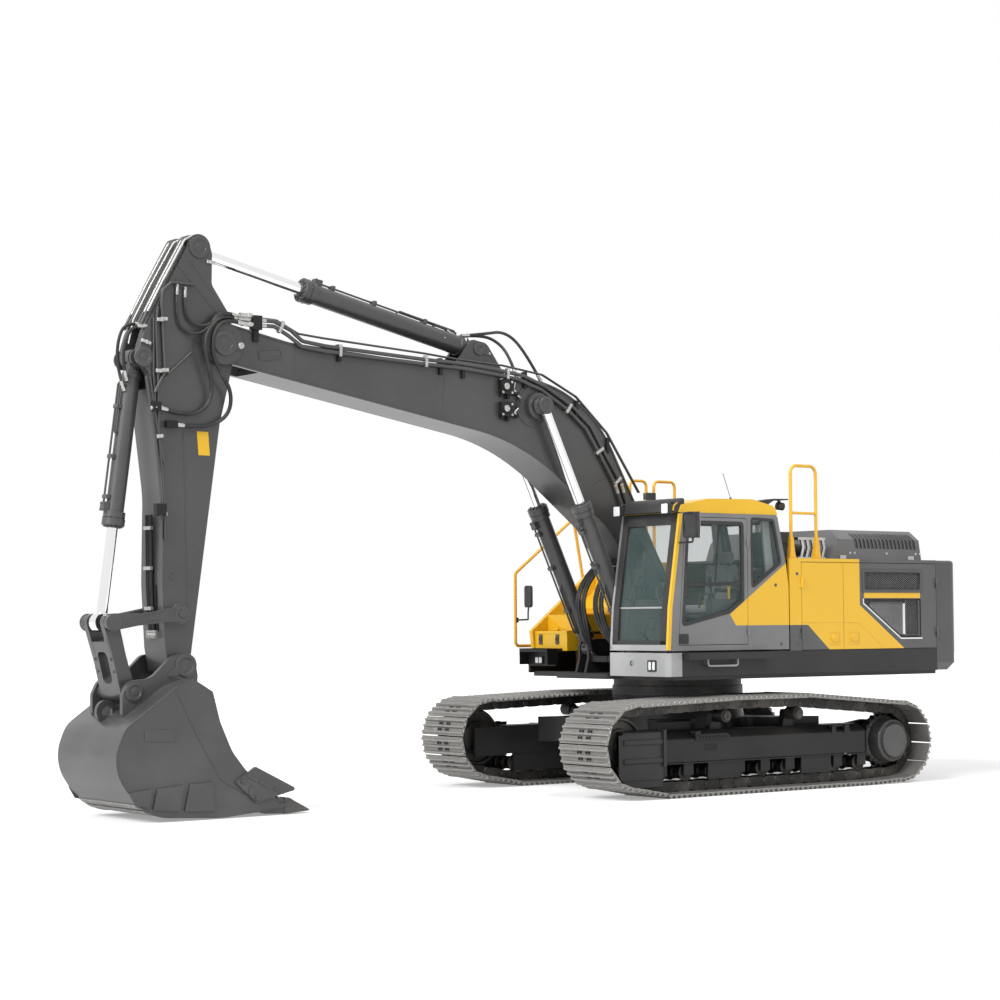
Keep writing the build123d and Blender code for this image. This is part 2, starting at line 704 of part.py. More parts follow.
with BuildPart() as right_panels:
    add(block((COUNTERWEIGHT_FRONT, pump_seam), (-half_body, -half_body + 150), (SKIRT_TOP, BODY_TOP)))
    add(block((pump_seam, -1292), (-half_body, -half_body + 150), (BODY_TOP - 40, BODY_TOP)))
    for z in door_hinges:
        add(fixed_half(upright_hinge(pump_hinge_x, -1), z, leaf_behind, leaf_within))
save(right_panels.part, "right_panels")

with BuildPart() as pump_door:
    door_x = (pump_seam + PANEL_GAP, -1292 - PANEL_GAP)
    add(block(door_x, (-half_body, -half_body + PANEL_THICKNESS), (SKIRT_TOP + PANEL_GAP, door_top)))
    for z in door_hinges:
        add(moving_half(upright_hinge(pump_hinge_x, -1), z, leaf_ahead, leaf_within))
save(pump_door.part, "pump_door")

# Engine bay: the engine, and the deck round the hood
with BuildPart() as engine:
    add(block((COUNTERWEIGHT_FRONT + 280, -1400), (-500, 700), (ENGINE_BOTTOM, 2450)))
save(engine.part, "engine")

hood_y = (-half_body + 545, half_body - 195)
hood_x = (COUNTERWEIGHT_FRONT + 40, -1290)
hood_hinge = cross_hinge(hood_x[0] - HINGE_RADIUS - SEAT_GAP, BODY_TOP + HINGE_RADIUS)
hood_hinges = (hood_y[0] + 350, hood_y[1] - 400)
leaf_on_hood = (HINGE_RADIUS - HINGE_LEAF, HINGE_RADIUS + SEAT_GAP)
with BuildPart() as deck_top:
    add(block((COUNTERWEIGHT_FRONT, -1292), (-half_body + 150, half_body - 150), (BODY_TOP - 30, BODY_TOP)))
    add(block((-1292, -400), (tank_left, half_body - 150), (BODY_TOP - 30, BODY_TOP)))
    inner_x = (hood_x[0] + 40, hood_x[1] - 40)
    add(block(inner_x, (hood_y[0] + 40, hood_y[1] - 60), (BODY_TOP - 40, BODY_TOP + 10)), mode=Mode.SUBTRACT)
    for y in hood_hinges:
        add(fixed_half(hood_hinge, -y, (-22, 0), leaf_depth))
save(deck_top.part, "deck_top")

with BuildPart() as engine_hood:
    hood_section = [
        (hood_y[0], BODY_TOP + SEAT_GAP, 0),
        (hood_y[1], BODY_TOP + SEAT_GAP, 0),
        (hood_y[1] - 40, 2860, 10),
        (hood_y[1] - 190, 2972, 30),
        (hood_y[0] + 120, 2972, 60),
        (hood_y[0], 2860, 60),
    ]
    add(wall(hood_section, *hood_x))
    nose = [
        (hood_x[1] + 10, BODY_TOP - 10, 0),
        (hood_x[1] + 10, 3100, 0),
        (hood_x[1] - 260, 3100, 0),
        (hood_x[1] - 160, 2972, 0),
        (hood_x[1] - 20, BODY_TOP - 10, 0),
    ]
    add(slab(nose, -1500, 1500), mode=Mode.SUBTRACT)
    inner = [
        (hood_y[0] + 25, BODY_TOP, 0),
        (hood_y[1] - 30, BODY_TOP, 0),
        (hood_y[1] - 70, 2845, 10),
        (hood_y[1] - 200, 2945, 10),
        (hood_y[0] + 130, 2945, 10),
        (hood_y[0] + 25, 2850, 10),
    ]
    add(wall(inner, hood_x[0] + 25, hood_x[1] - 190), mode=Mode.SUBTRACT)
    for y in hood_hinges:
        add(moving_half(hood_hinge, -y, leaf_on_hood, (0, 40)))
save(engine_hood.part, "engine_hood")

with BuildPart() as exhaust:
    with BuildSketch(Plane.XY.offset(BODY_TOP)):
        with Locations((-1000, 350)):
            Circle(110)
    extrude(amount=330)
    with BuildSketch(Plane.XY.offset(BODY_TOP + 300)):
        with Locations((-1000, 350)):
            Circle(62)
    extrude(amount=160)
save(exhaust.part, "exhaust")

with BuildPart() as air_intake:
    add(block((-760, -470), (half_body - 745, half_body - 345), (BODY_TOP, 3010)))
    fillet(air_intake.edges().filter_by(Axis.Z), 60)
save(air_intake.part, "air_intake")

# Cab shell: side walls, floor, rear wall and roof frame round the windows
roof_under = 3100
cab_outline = [
    (CAB_FRONT, CAB_FLOOR, 0),
    (1408, 2060, 60),
    (1245, roof_under, 40),
    (-215, roof_under, 40),
    (CAB_REAR + 40, 2560, 60),
    (CAB_REAR, 2300, 30),
    (CAB_REAR, CAB_FLOOR, 0),
]
with BuildPart() as cab_shell:
    add(slab(cab_outline, CAB_RIGHT, half_body))
    with BuildSketch(left(half_body - CAB_WALL)) as hollow:
        add(face(cab_outline))
        offset(amount=-CAB_WALL, kind=Kind.INTERSECTION, mode=Mode.REPLACE)
    extrude(amount=half_body - CAB_RIGHT - 2 * CAB_WALL, mode=Mode.SUBTRACT)
    # windscreen
    screen = [
        (CAB_RIGHT + 90, CAB_FLOOR + 85, 60),
        (half_body - 90, CAB_FLOOR + 85, 60),
        (half_body - 90, roof_under - 90, 40),
        (CAB_RIGHT + 90, roof_under - 90, 40),
    ]
    add(wall(screen, 1150, 1600), mode=Mode.SUBTRACT)
    # door opening and rear quarter window on the left
    doorway = [
        (250, CAB_FLOOR + 60, 20),
        (1290, CAB_FLOOR + 60, 20),
        (1175, roof_under - 45, 40),
        (250, roof_under - 45, 40),
    ]
    quarter = [(180, 2280, 15), (180, 3050, 20), (-150, 3040, 60), (-255, 2560, 20)]
    add(slab(doorway, half_body - CAB_WALL - 10, half_body + 10), mode=Mode.SUBTRACT)
    add(slab(quarter, half_body - CAB_WALL - 10, half_body + 10), mode=Mode.SUBTRACT)
    # window beside the boom
    side_window = [(-230, 2150, 40), (1290, 2150, 40), (1175, 3020, 40), (-150, 3020, 40)]
    add(slab(side_window, CAB_RIGHT - 10, CAB_RIGHT + CAB_WALL + 10), mode=Mode.SUBTRACT)
    # rear window
    rear_window = [
        (CAB_RIGHT + 110, 2350, 40),
        (half_body - 110, 2350, 40),
        (half_body - 110, 3020, 40),
        (CAB_RIGHT + 110, 3020, 40),
    ]
    add(wall(rear_window, CAB_REAR - 10, -100), mode=Mode.SUBTRACT)
    for z in cab_hinges:
        add(fixed_half(upright_hinge(cab_hinge_x, 1), z, leaf_behind, leaf_depth))
save(cab_shell.part, "cab_shell")

with BuildPart() as cab_roof:
    cap = [
        (1250, roof_under, 0),
        (1215, 3185, 40),
        (820, 3262, 300),
        (150, 3272, 300),
        (-190, 3200, 90),
        (-235, roof_under, 0),
    ]
    add(slab(cap, CAB_RIGHT + 15, half_body - 15))
    visor = [(1180, 3150, 0), (1235, 3225, 30), (1320, 3165, 20), (1336, 3112, 10), (1230, 3132, 0)]
    add(slab(visor, CAB_RIGHT + 60, half_body - 30))
save(cab_roof.part, "cab_roof")

def inset(corners):
    """A pane's corners, drawn in from its opening by the seat's gap."""
    a_middle = sum(a for a, b, r in corners) / len(corners)
    b_middle = sum(b for a, b, r in corners) / len(corners)
    moved = []
    for a, b, r in corners:
        away = hypot(a - a_middle, b - b_middle)
        share = 1 - 2 * SEAT_GAP / away
        moved.append((a_middle + (a - a_middle) * share, b_middle + (b - b_middle) * share, r))
    return moved


# Panes, each set in the middle of its wall
with BuildPart() as cab_glass:
    # windscreen and rear pane follow the shell's bent outline
    with BuildSketch(left(half_body - CAB_WALL)):
        add(face(cab_outline))
        offset(amount=-PANE_DEPTH, kind=Kind.INTERSECTION, mode=Mode.REPLACE)
    extrude(amount=half_body - CAB_RIGHT - 2 * CAB_WALL)
    with BuildSketch(left(half_body)):
        add(face(cab_outline))
        offset(amount=-PANE_DEPTH - GLASS_THICKNESS, kind=Kind.INTERSECTION, mode=Mode.REPLACE)
    extrude(amount=half_body - CAB_RIGHT, mode=Mode.SUBTRACT)
    add(wall(inset(screen), 1150, 1600) + wall(inset(rear_window), CAB_REAR - 10, -100), mode=Mode.INTERSECT)
    # side panes
    pane_low = half_body - PANE_DEPTH - GLASS_THICKNESS
    add(slab(inset(quarter), pane_low, pane_low + GLASS_THICKNESS))
    add(slab(inset(side_window), CAB_RIGHT + PANE_DEPTH, CAB_RIGHT + PANE_DEPTH + GLASS_THICKNESS))
save(cab_glass.part, "cab_glass")

with BuildPart() as cab_door:
    door = [
        (250 + PANEL_GAP, CAB_FLOOR + 60 + PANEL_GAP, 15),
        (1290 - PANEL_GAP, CAB_FLOOR + 60 + PANEL_GAP, 15),
        (1175 - PANEL_GAP, roof_under - 45 - PANEL_GAP, 40),
        (250 + PANEL_GAP, roof_under - 45 - PANEL_GAP, 40),
    ]
    window = [
        (330, 2140, 30),
        (540, 2010, 30),
        (1215, 1870, 30),
        (1130, roof_under - 110, 40),
        (330, roof_under - 110, 40),
    ]
    add(slab(door, half_body - 50, half_body))
    add(slab(window, half_body - 60, half_body + 10), mode=Mode.SUBTRACT)
    for z in cab_hinges:
        add(moving_half(upright_hinge(cab_hinge_x, 1), z, leaf_ahead, leaf_depth))
save(cab_door.part, "cab_door")

with BuildPart() as door_glass:
    add(slab(inset(window), half_body - 28, half_body - 28 + GLASS_THICKNESS))
save(door_glass.part, "door_glass")

def cab_span(low, high):
    """Two shares of the cab's width as lengths from the middle of the machine."""
    width = half_body - CAB_RIGHT
    return (CAB_RIGHT + low * width, CAB_RIGHT + high * width)


# Work lamps at the roof's front corners
with BuildPart() as work_lamps:
    for y in (CAB_RIGHT + 90, half_body - 85):
        add(block((1338, 1402), (y - 55, y + 55), (3085, 3195)))
        add(block((1332, 1345), (y - 15, y + 15), (3118, 3160)))
save(work_lamps.part, "work_lamps")

with BuildPart() as seat:
    add(block((120, 620), cab_span(0.259, 0.743), (1980, 2090)))
    add(block((60, 180), cab_span(0.259, 0.743), (2090, 2700)))
    add(block((200, 540), cab_span(0.32, 0.683), (CAB_FLOOR + CAB_WALL, 1980)))
save(seat.part, "seat")

with BuildPart() as consoles:
    add(block((250, 760), cab_span(0.088, 0.219), (CAB_FLOOR + CAB_WALL, 2180)))
    add(block((250, 700), cab_span(0.793, 0.904), (CAB_FLOOR + CAB_WALL, 2150)))
save(consoles.part, "consoles")

# Boom: a box of two webs and two flanges, bent behind the cylinders' pin
boom_outline = (
    along(BOOM_TIP, [(-60, 210, 0), (-790, 65, 900)])
    + along(BOOM_CYL_EYE, [(-698, 254, 1500)])
    + along(BOOM_FOOT, [(-164, 96, 0), (150, -116, 0), (840, 873, 900)])
    + along(BOOM_CYL_EYE, [(184, -420, 2700)])
    + along(BOOM_TIP, [(-80, -200, 0)])
)
half_boom = BOOM_WIDTH / 2
nose_slot = ARM_WIDTH / 2 + SIDE_GAP
with BuildPart() as boom:
    with BuildSketch(left(half_boom + FLANGE_LIP)) as side:
        add(face(boom_outline))
    extrude(amount=2 * (half_boom + FLANGE_LIP))
    for y in (half_boom + FLANGE_LIP, -half_boom):
        with BuildSketch(left(y)):
            add(face(boom_outline))
            offset(amount=-BOOM_FLANGE, kind=Kind.INTERSECTION, mode=Mode.REPLACE)
        extrude(amount=FLANGE_LIP, mode=Mode.SUBTRACT)
    with BuildSketch(left(half_boom - BOOM_WEB)):
        add(face(boom_outline))
        offset(amount=-BOOM_FLANGE, kind=Kind.INTERSECTION, mode=Mode.REPLACE)
    extrude(amount=2 * (half_boom - BOOM_WEB), mode=Mode.SUBTRACT)
    # nose and foot bosses
    add(cross_pin(BOOM_TIP, 215, -half_boom - 50, half_boom + 50))
    add(cross_pin(BOOM_FOOT, 190, -foot_outside, foot_outside))
    # bosses beside the boom cylinders' eyes
    add(cross_pin(BOOM_CYL_EYE, 150, -half_boom - 55, half_boom + 55))
    # brackets for the arm cylinder's base
    ears = [
        (ARM_CYL_BASE[0] + 420, ARM_CYL_BASE[1] - 330, 0),
        (ARM_CYL_BASE[0] + 90, ARM_CYL_BASE[1] + 100, 110),
        (ARM_CYL_BASE[0] - 110, ARM_CYL_BASE[1] + 70, 110),
        (ARM_CYL_BASE[0] - 420, ARM_CYL_BASE[1] - 350, 0),
    ]
    for y in (114, -154):
        add(slab(ears, y, y + 40))
    add(cross_pin(ARM_CYL_BASE, 45, -154, 154))
    # room for the arm between the nose plates, closed off from the box's inside
    with BuildSketch(left(half_boom)):
        add(face(boom_outline))
        with Locations(BOOM_TIP):
            Circle(NOSE_SLOT_RADIUS + BOOM_FLANGE, mode=Mode.INTERSECT)
    extrude(amount=BOOM_WIDTH)
    with BuildSketch(left(nose_slot)):
        with Locations(BOOM_TIP):
            Circle(NOSE_SLOT_RADIUS)
    extrude(amount=2 * nose_slot, mode=Mode.SUBTRACT)
    # the arm's pin
    add(cross_pin(BOOM_TIP, 60, -half_boom - 50, half_boom + 50))
    # bore at the foot for the frame's pin
    with BuildSketch(left(foot_outside + 1)):
        with Locations(BOOM_FOOT):
            Circle(65 + PIN_FIT)
    extrude(amount=2 * foot_outside + 2, mode=Mode.SUBTRACT)
save(boom.part, "boom")

# Arm: a box with ears for three cylinders' and links' pins
arm_outline = (
    along(ARM_CYL_EYE, [(60, 130, 60), (-100, 110, 100), (-150, -60, 60), (-145, -370, 100)])
    + along(BOOM_TIP, [(-95, 330, 200), (-190, 0, 250), (-95, -420, 200), (0, -800, 600)])
    + along(BUCKET_PIN, [(-120, 60, 0), (-60, -110, 60), (110, -90, 60), (160, 180, 60)])
    + along(GUIDE_PIN, [(197, 300, 2000)])
    + along(BOOM_TIP, [(640, -1540, 1500)])
    + along(BUCKET_CYL_BASE, [(-60, -160, 60), (70, 0, 60), (-10, 260, 300)])
)
half_arm = ARM_WIDTH / 2
eye_half = CYLINDER_EYE_WIDTH / 2
with BuildPart() as arm:
    add(slab(arm_outline, -half_arm, half_arm))
    with BuildSketch(left(half_arm - ARM_WEB)):
        add(face(arm_outline))
        offset(amount=-16, kind=Kind.INTERSECTION, mode=Mode.REPLACE)
    extrude(amount=2 * (half_arm - ARM_WEB), mode=Mode.SUBTRACT)
    # solid bosses
    for pivot, radius in ((BOOM_TIP, 185), (BUCKET_PIN, 125), (GUIDE_PIN, 95), (ARM_CYL_EYE, 130)):
        add(cross_pin(pivot, radius, -half_arm, half_arm))
    # slots for the arm cylinder's eye and the bucket cylinder's base, with curved ends
    for pivot, radius, half_slot in ((ARM_CYL_EYE, 300, 75), (BUCKET_CYL_BASE, 320, 112)):
        with BuildSketch(left(half_arm)):
            add(face(arm_outline))
            with Locations(pivot):
                Circle(radius + BOOM_FLANGE, mode=Mode.INTERSECT)
        extrude(amount=ARM_WIDTH)
        with BuildSketch(left(half_slot)):
            with Locations(pivot):
                Circle(radius)
        extrude(amount=2 * half_slot, mode=Mode.SUBTRACT)
    # inner bosses beside the bucket cylinder's eye, and its pin
    for side in (1, -1):
        low, high = sorted((side * (eye_half + SIDE_GAP), side * 112))
        add(cross_pin(BUCKET_CYL_BASE, 90, low, high))
    add(cross_pin(BUCKET_CYL_BASE, 45, -half_arm, half_arm))
    # rings that space the bucket's ears off the arm
    spacer = half_arm + SIDE_GAP + EAR_THICKNESS
    add(cross_pin(BUCKET_PIN, 60, -spacer, spacer))
    with BuildSketch(left(spacer + 1)):
        with Locations(BOOM_TIP):
            Circle(60 + PIN_FIT)
        with Locations(BUCKET_PIN):
            Circle(48 + PIN_FIT)
    extrude(amount=2 * spacer + 2, mode=Mode.SUBTRACT)
    # pins for the guide links and the bucket
    add(cross_pin(GUIDE_PIN, 42, -half_arm - 75, half_arm + 75))
save(arm.part, "arm")


def cylinder_barrel(base, end, y, length, bore_radius, eye_radius, eye_width, pin_radius):
    """A hydraulic cylinder's barrel, from its base eye, along base to end, open for its rod."""
    with BuildPart() as barrel:
        add(cross_pin(base, eye_radius, y - eye_width / 2, y + eye_width / 2))
        with BuildSketch(rod_plane(base, end, y, eye_radius * 0.5)):
            Circle(eye_width / 2)
        extrude(amount=eye_radius)
        with BuildSketch(rod_plane(base, end, y, eye_radius + 30)):
            Circle(bore_radius)
        extrude(amount=length - eye_radius - 30)
        with BuildSketch(rod_plane(base, end, y, length - 120)):
            Circle(bore_radius + 14)
        extrude(amount=120)
        with BuildSketch(rod_plane(base, end, y, length)):
            Circle(bore_radius * 0.6 + 0.1)
        extrude(amount=-(length - eye_radius * 1.6), mode=Mode.SUBTRACT)
        with BuildSketch(left(y + eye_width / 2 + 1)):
            with Locations(base):
                Circle(pin_radius + PIN_FIT)
        extrude(amount=eye_width + 2, mode=Mode.SUBTRACT)
    return barrel.part


def cylinder_rod(base, end, y, start, rod_radius, eye_radius, eye_width):
    """A cylinder's rod, from a distance inside the barrel to its eye."""
    with BuildPart() as rod:
        with BuildSketch(rod_plane(base, end, y, start)):
            Circle(rod_radius)
        extrude(amount=span(base, end) - start - eye_radius * 0.6)
        add(cross_pin(end, eye_radius, y - eye_width / 2, y + eye_width / 2))
    return rod.part


# name, base, end, y, barrel length, barrel radius, eye radius, eye width, pin radius, travel to closed
boom_cyl = (BOOM_CYL_BASE, BOOM_CYL_EYE)
arm_cyl = (ARM_CYL_BASE, ARM_CYL_EYE)
bucket_cyl = (BUCKET_CYL_BASE, LINK_TOP_PIN)
cylinders = (
    ("boom_cylinder_left", *boom_cyl, cyl_y, 1790, 95, 95, cyl_eye_width, 50, 790),
    ("boom_cylinder_right", *boom_cyl, -cyl_y, 1790, 95, 95, cyl_eye_width, 50, 790),
    ("arm_cylinder", *arm_cyl, 0, 2250, 107, 110, CYLINDER_EYE_WIDTH, 45, 1020),
    ("bucket_cylinder", *bucket_cyl, 0, 1680, 90, 95, CYLINDER_EYE_WIDTH, 45, 720),
)
for name, base, end, y, length, radius, eye, width, pin, travel in cylinders:
    save(cylinder_barrel(base, end, y, length, radius, eye, width, pin), f"{name}_barrel")
    save(cylinder_rod(base, end, y, eye + 80 + travel, radius * 0.6 - 0.1, eye, width), f"{name}_rod")

# Bucket linkage: two guide links outside the arm, one H-shaped link to the bucket
link_gap = half_arm + SIDE_GAP
ear_low = link_gap + EAR_THICKNESS + SIDE_GAP
ear_high = ear_low + BUCKET_EAR_THICKNESS


def link_outline(a, b, end_radius, waist):
    """A link's side view between two pins, as a chain of corners round both ends."""
    length = span(a, b)
    table = (
        (-end_radius, -end_radius, end_radius * 0.95),
        (length * 0.5, -waist, 200),
        (length + end_radius, -end_radius, end_radius * 0.95),
        (length + end_radius, end_radius, end_radius * 0.95),
        (length * 0.5, waist, 200),
        (-end_radius, end_radius, end_radius * 0.95),
    )
    return [(*between(a, b, s, t), r) for s, t, r in table]


with BuildPart() as guide_links:
    for low, high in ((link_gap, link_gap + EAR_THICKNESS), (-link_gap - EAR_THICKNESS, -link_gap)):
        add(slab(link_outline(GUIDE_PIN, LINK_TOP_PIN, 85, 52), low, high))
    with BuildSketch(left(400)):
        with Locations(GUIDE_PIN):
            Circle(42 + PIN_FIT)
    extrude(amount=800, mode=Mode.SUBTRACT)
    # the pin's two ends, each through one eye of the bucket link
    for low, high in ((link_gap - 80, link_gap + 10), (-link_gap - 10, -link_gap + 80)):
        add(cross_pin(LINK_TOP_PIN, 42, low, high))
save(guide_links.part, "guide_links")

with BuildPart() as bucket_link:
    half_link = link_gap - SIDE_GAP - 4
    half_foot = ear_low - SIDE_GAP
    add(slab(link_outline(LINK_FOOT_PIN, LINK_TOP_PIN, 85, 70), -half_link, half_link))
    add(cross_pin(LINK_FOOT_PIN, LINK_FOOT_RADIUS, -half_foot, half_foot))
    # room for the cylinder's eye
    with BuildSketch(left(half_link - 75)):
        with Locations(LINK_TOP_PIN):
            Circle(190)
    extrude(amount=2 * (half_link - 75), mode=Mode.SUBTRACT)
    # the long opening between the legs, through the link from front to back
    link_length = span(LINK_FOOT_PIN, LINK_TOP_PIN)
    hole_low, hole_high = LINK_FOOT_RADIUS + 25, link_length - 190 - LINK_WEB
    x, z = between(LINK_FOOT_PIN, LINK_TOP_PIN, (hole_low + hole_high) / 2, -200)
    across = (LINK_TOP_PIN[1] - LINK_FOOT_PIN[1], 0, LINK_FOOT_PIN[0] - LINK_TOP_PIN[0])
    with BuildSketch(Plane(origin=(x, 0, z), x_dir=(0, 1, 0), z_dir=across)):
        RectangleRounded(2 * (half_link - LINK_LEG), hole_high - hole_low, 60)
    extrude(amount=-400, mode=Mode.SUBTRACT)
    with BuildSketch(left(500)):
        with Locations(LINK_TOP_PIN):
            Circle(42 + PIN_FIT)
    extrude(amount=1000, mode=Mode.SUBTRACT)
save(bucket_link.part, "bucket_link")

# Bucket: side plates, a wrapped back and floor, ears and a cutting edge
half_bucket = BUCKET_WIDTH / 2
wrapper_corners = along(
    BUCKET_PIN,
    [
        (-945, -1425, 0),
        (-245, -1487, 1500),
        (620, -1440, 560),
        (960, -940, 430),
        (820, -590, 260),
        (245, -190, 120),
        (60, -131, 0),
    ],
)
mouth_corners = along(
    BUCKET_PIN,
    [(60, -131, 0), (-147, -253, 40), (-230, -554, 300), (-366, -849, 400), (-513, -1028, 0), (-900, -1385, 0)],
)
with BuildPart() as bucket:
    with BuildSketch(left(half_bucket - BUCKET_PLATE)):
        with BuildLine():
            wrap = [(x, z) for x, z, r in wrapper_corners]
            FilletPolyline(*wrap, radius=[r for x, z, r in wrapper_corners[1:-1]])
            offset(amount=BUCKET_PLATE, side=Side.LEFT)
        make_face()
    extrude(amount=2 * (half_bucket - BUCKET_PLATE))
    plate = wrapper_corners + mouth_corners[1:-1]
    add(slab(plate, half_bucket - BUCKET_PLATE, half_bucket))
    add(slab(plate, -half_bucket, -half_bucket + BUCKET_PLATE))
    # ears for the bucket's pin and the link's pin
    ear_outline = (
        along(BUCKET_PIN, [(-90, 130, 120), (150, 100, 100)])
        + along(LINK_FOOT_PIN, [(-180, 130, 200), (60, 110, 90), (130, -30, 80), (130, -300, 60)])
        + along(BUCKET_PIN, [(245, -260, 0), (-120, -300, 100), (-135, -100, 60)])
    )
    for low, high in ((ear_low, ear_high), (-ear_high, -ear_low)):
        add(slab(ear_outline, low, high))
    # the bucket's pin, through the arm's boss
    add(cross_pin(BUCKET_PIN, 48, -ear_high, ear_high))
    # side cutters, and the lifting eye on the back
    cutter = [(6360, 350, 20), (6130, 495, 20), (5640, 250, 20), (5910, 190, 0), (6120, 140, 0)]
    cutter_y = (half_bucket - 1, half_bucket + CUTTER_THICKNESS)
    add(slab(cutter, *cutter_y))
    add(slab(cutter, -cutter_y[1], -cutter_y[0]))
    add(cross_pin(LIFT_EYE, LIFT_EYE_RADIUS, -25, 25))
    with BuildSketch(left(60)):
        with Locations(LIFT_EYE):
            Circle(LIFT_EYE_RADIUS * 0.5)
    extrude(amount=120, mode=Mode.SUBTRACT)
    # cutting edge
    edge = along(BUCKET_PIN, [(-1010, -1415, 0), (-640, -1462, 0), (-640, -1410, 0), (-1010, -1380, 0)])
    add(slab(edge, -half_bucket, half_bucket))
save(bucket.part, "bucket")

# Five teeth on the cutting edge, and the side cutters
with BuildPart() as bucket_teeth:
    for number in range(5):
        middle = (number - 2) * (BUCKET_WIDTH - 150) / 4
        tip = along(BUCKET_PIN, [(-1276, -1469, 0), (-1010, -1465, 0), (-1010, -1350, 0)])
        add(slab(tip, middle - 50, middle + 50))
save(bucket_teeth.part, "bucket_teeth")

# Hand rails
with BuildPart() as handrail_left:
    rail_y = half_body - 60
    loop = [(-488, rail_y, BODY_TOP), (-488, rail_y, 3680), (-888, rail_y, 3680), (-888, rail_y, BODY_TOP)]
    add(tube_path(loop, 90, 19))
save(handrail_left.part, "handrail_left")

with BuildPart() as handrails_right:
    rail_y = -half_body - 60
    loop = [
        (960, -half_body, 1620),
        (960, rail_y, 1620),
        (1205, rail_y, 1620),
        (1205, rail_y, 2490),
        (300, rail_y, 3170),
        (150, rail_y, 2380),
        (150, -half_body, 2380),
    ]
    add(tube_path(loop, 50, 19))
save(handrails_right.part, "handrails_right")

with BuildPart() as handrails_top:
    rail_y = -half_body + 95
    for front, rear in ((-480, -744), (-870, -1215)):
        loop = [(front, rail_y, BODY_TOP), (front, rail_y, 3655), (rear, rail_y, 3655), (rear, rail_y, BODY_TOP)]
        add(tube_path(loop, 70, 19))
save(handrails_top.part, "handrails_top")

# Mirror beside the cab's front corner, clear of the door's swing
with BuildPart() as mirror_left:
    head = [(1311, 1638, 15), (1264, 1812, 15), (1229, 1802, 15), (1276, 1628, 15)]
    add(board(head, 2810, 3094))
    arm_y = half_body + SEAT_GAP
    add(tube_path([(1264, arm_y, 2765), (1264, 1720, 2765), (1264, 1720, 2830)], 25, 11))
save(mirror_left.part, "mirror_left")
print("done")
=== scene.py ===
# %% [markdown]
# # A crawler excavator, dressed in Blender
# The machine's solids come from CAD and stay where they are. This notebook gives them paint, dust and wear,
# and adds what makes the machine look real: hoses, pipes, lamps, mirrors, grilles, bolts and a driver's seat.
# Every length is in metres: X points forward to the bucket, Y to the machine's left, and Z up.

# %% The frame
import math

import bmesh
import bpy
from mathutils import Matrix, Vector


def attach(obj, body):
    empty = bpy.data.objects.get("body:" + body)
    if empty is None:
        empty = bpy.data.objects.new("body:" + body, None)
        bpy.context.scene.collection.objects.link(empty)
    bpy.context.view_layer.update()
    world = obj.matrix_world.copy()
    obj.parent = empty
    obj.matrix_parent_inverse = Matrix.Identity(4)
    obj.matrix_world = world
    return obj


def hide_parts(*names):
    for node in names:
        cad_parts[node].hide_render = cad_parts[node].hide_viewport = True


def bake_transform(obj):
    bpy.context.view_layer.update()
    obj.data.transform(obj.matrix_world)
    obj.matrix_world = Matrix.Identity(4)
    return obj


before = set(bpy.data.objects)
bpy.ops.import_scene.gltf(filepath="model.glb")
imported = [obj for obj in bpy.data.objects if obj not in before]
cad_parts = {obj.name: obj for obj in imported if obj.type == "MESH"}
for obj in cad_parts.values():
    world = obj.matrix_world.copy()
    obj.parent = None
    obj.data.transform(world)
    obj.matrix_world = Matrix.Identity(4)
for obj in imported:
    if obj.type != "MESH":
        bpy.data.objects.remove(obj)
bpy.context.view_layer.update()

# %% [markdown]
# ## The camera
# A photograph of a machine from eye level keeps its verticals upright because the camera hardly tilts. The
# place, the focal length and the small tilt were worked out from edges whose real directions are known, such
# as the cab's posts and the tracks. A camera looks along its own -Z, so its axes go into a matrix as columns.

# %% The camera
CAMERA_HEADING = math.radians(53.116)
CAMERA_PITCH = math.radians(3.031)
CAMERA_ROLL = math.radians(0.3546)
CAMERA_PLACE = Vector((17.759, 20.211, 1.928))
SENSOR = 36.0
FOCAL_SHARE = 2.27215

level = Vector((-math.cos(CAMERA_HEADING), -math.sin(CAMERA_HEADING), 0))
side = Vector((-math.sin(CAMERA_HEADING), math.cos(CAMERA_HEADING), 0))
upright = Vector((0, 0, 1))
ahead = level * math.cos(CAMERA_PITCH) + upright * math.sin(CAMERA_PITCH)
above = upright * math.cos(CAMERA_PITCH) - level * math.sin(CAMERA_PITCH)
camera_right = side * math.cos(CAMERA_ROLL) - above * math.sin(CAMERA_ROLL)
camera_up = side * math.sin(CAMERA_ROLL) + above * math.cos(CAMERA_ROLL)


def in_scene(name, data):
    """A new object with this data, linked to the scene."""
    made = bpy.data.objects.new(name, data)
    bpy.context.scene.collection.objects.link(made)
    return made


camera_data = bpy.data.cameras.new("camera")
camera_data.sensor_width = SENSOR
camera_data.lens = FOCAL_SHARE * SENSOR
camera_data.clip_end = 300
camera = in_scene("camera", camera_data)
camera.matrix_world = Matrix.Translation(CAMERA_PLACE) @ Matrix(
    (camera_right, camera_up, -ahead)
).transposed().to_4x4()
bpy.context.scene.camera = camera
bpy.context.scene.view_settings.view_transform = "Standard"
print("camera lens", round(camera_data.lens, 2), "mm")

# %% [markdown]
# ## Shader sums as Python
# A material is a small graph of nodes. Written by hand it takes three lines for each plus sign, so one class
# wraps a socket and gives it the operators of arithmetic. `1 - mask` then adds a Math node by itself. Any other
# node comes from one method, which takes the node's type, its settings and what its sockets are fed.

# %% A socket that can be added and multiplied
NOISE_ROUGHNESS = 0.55


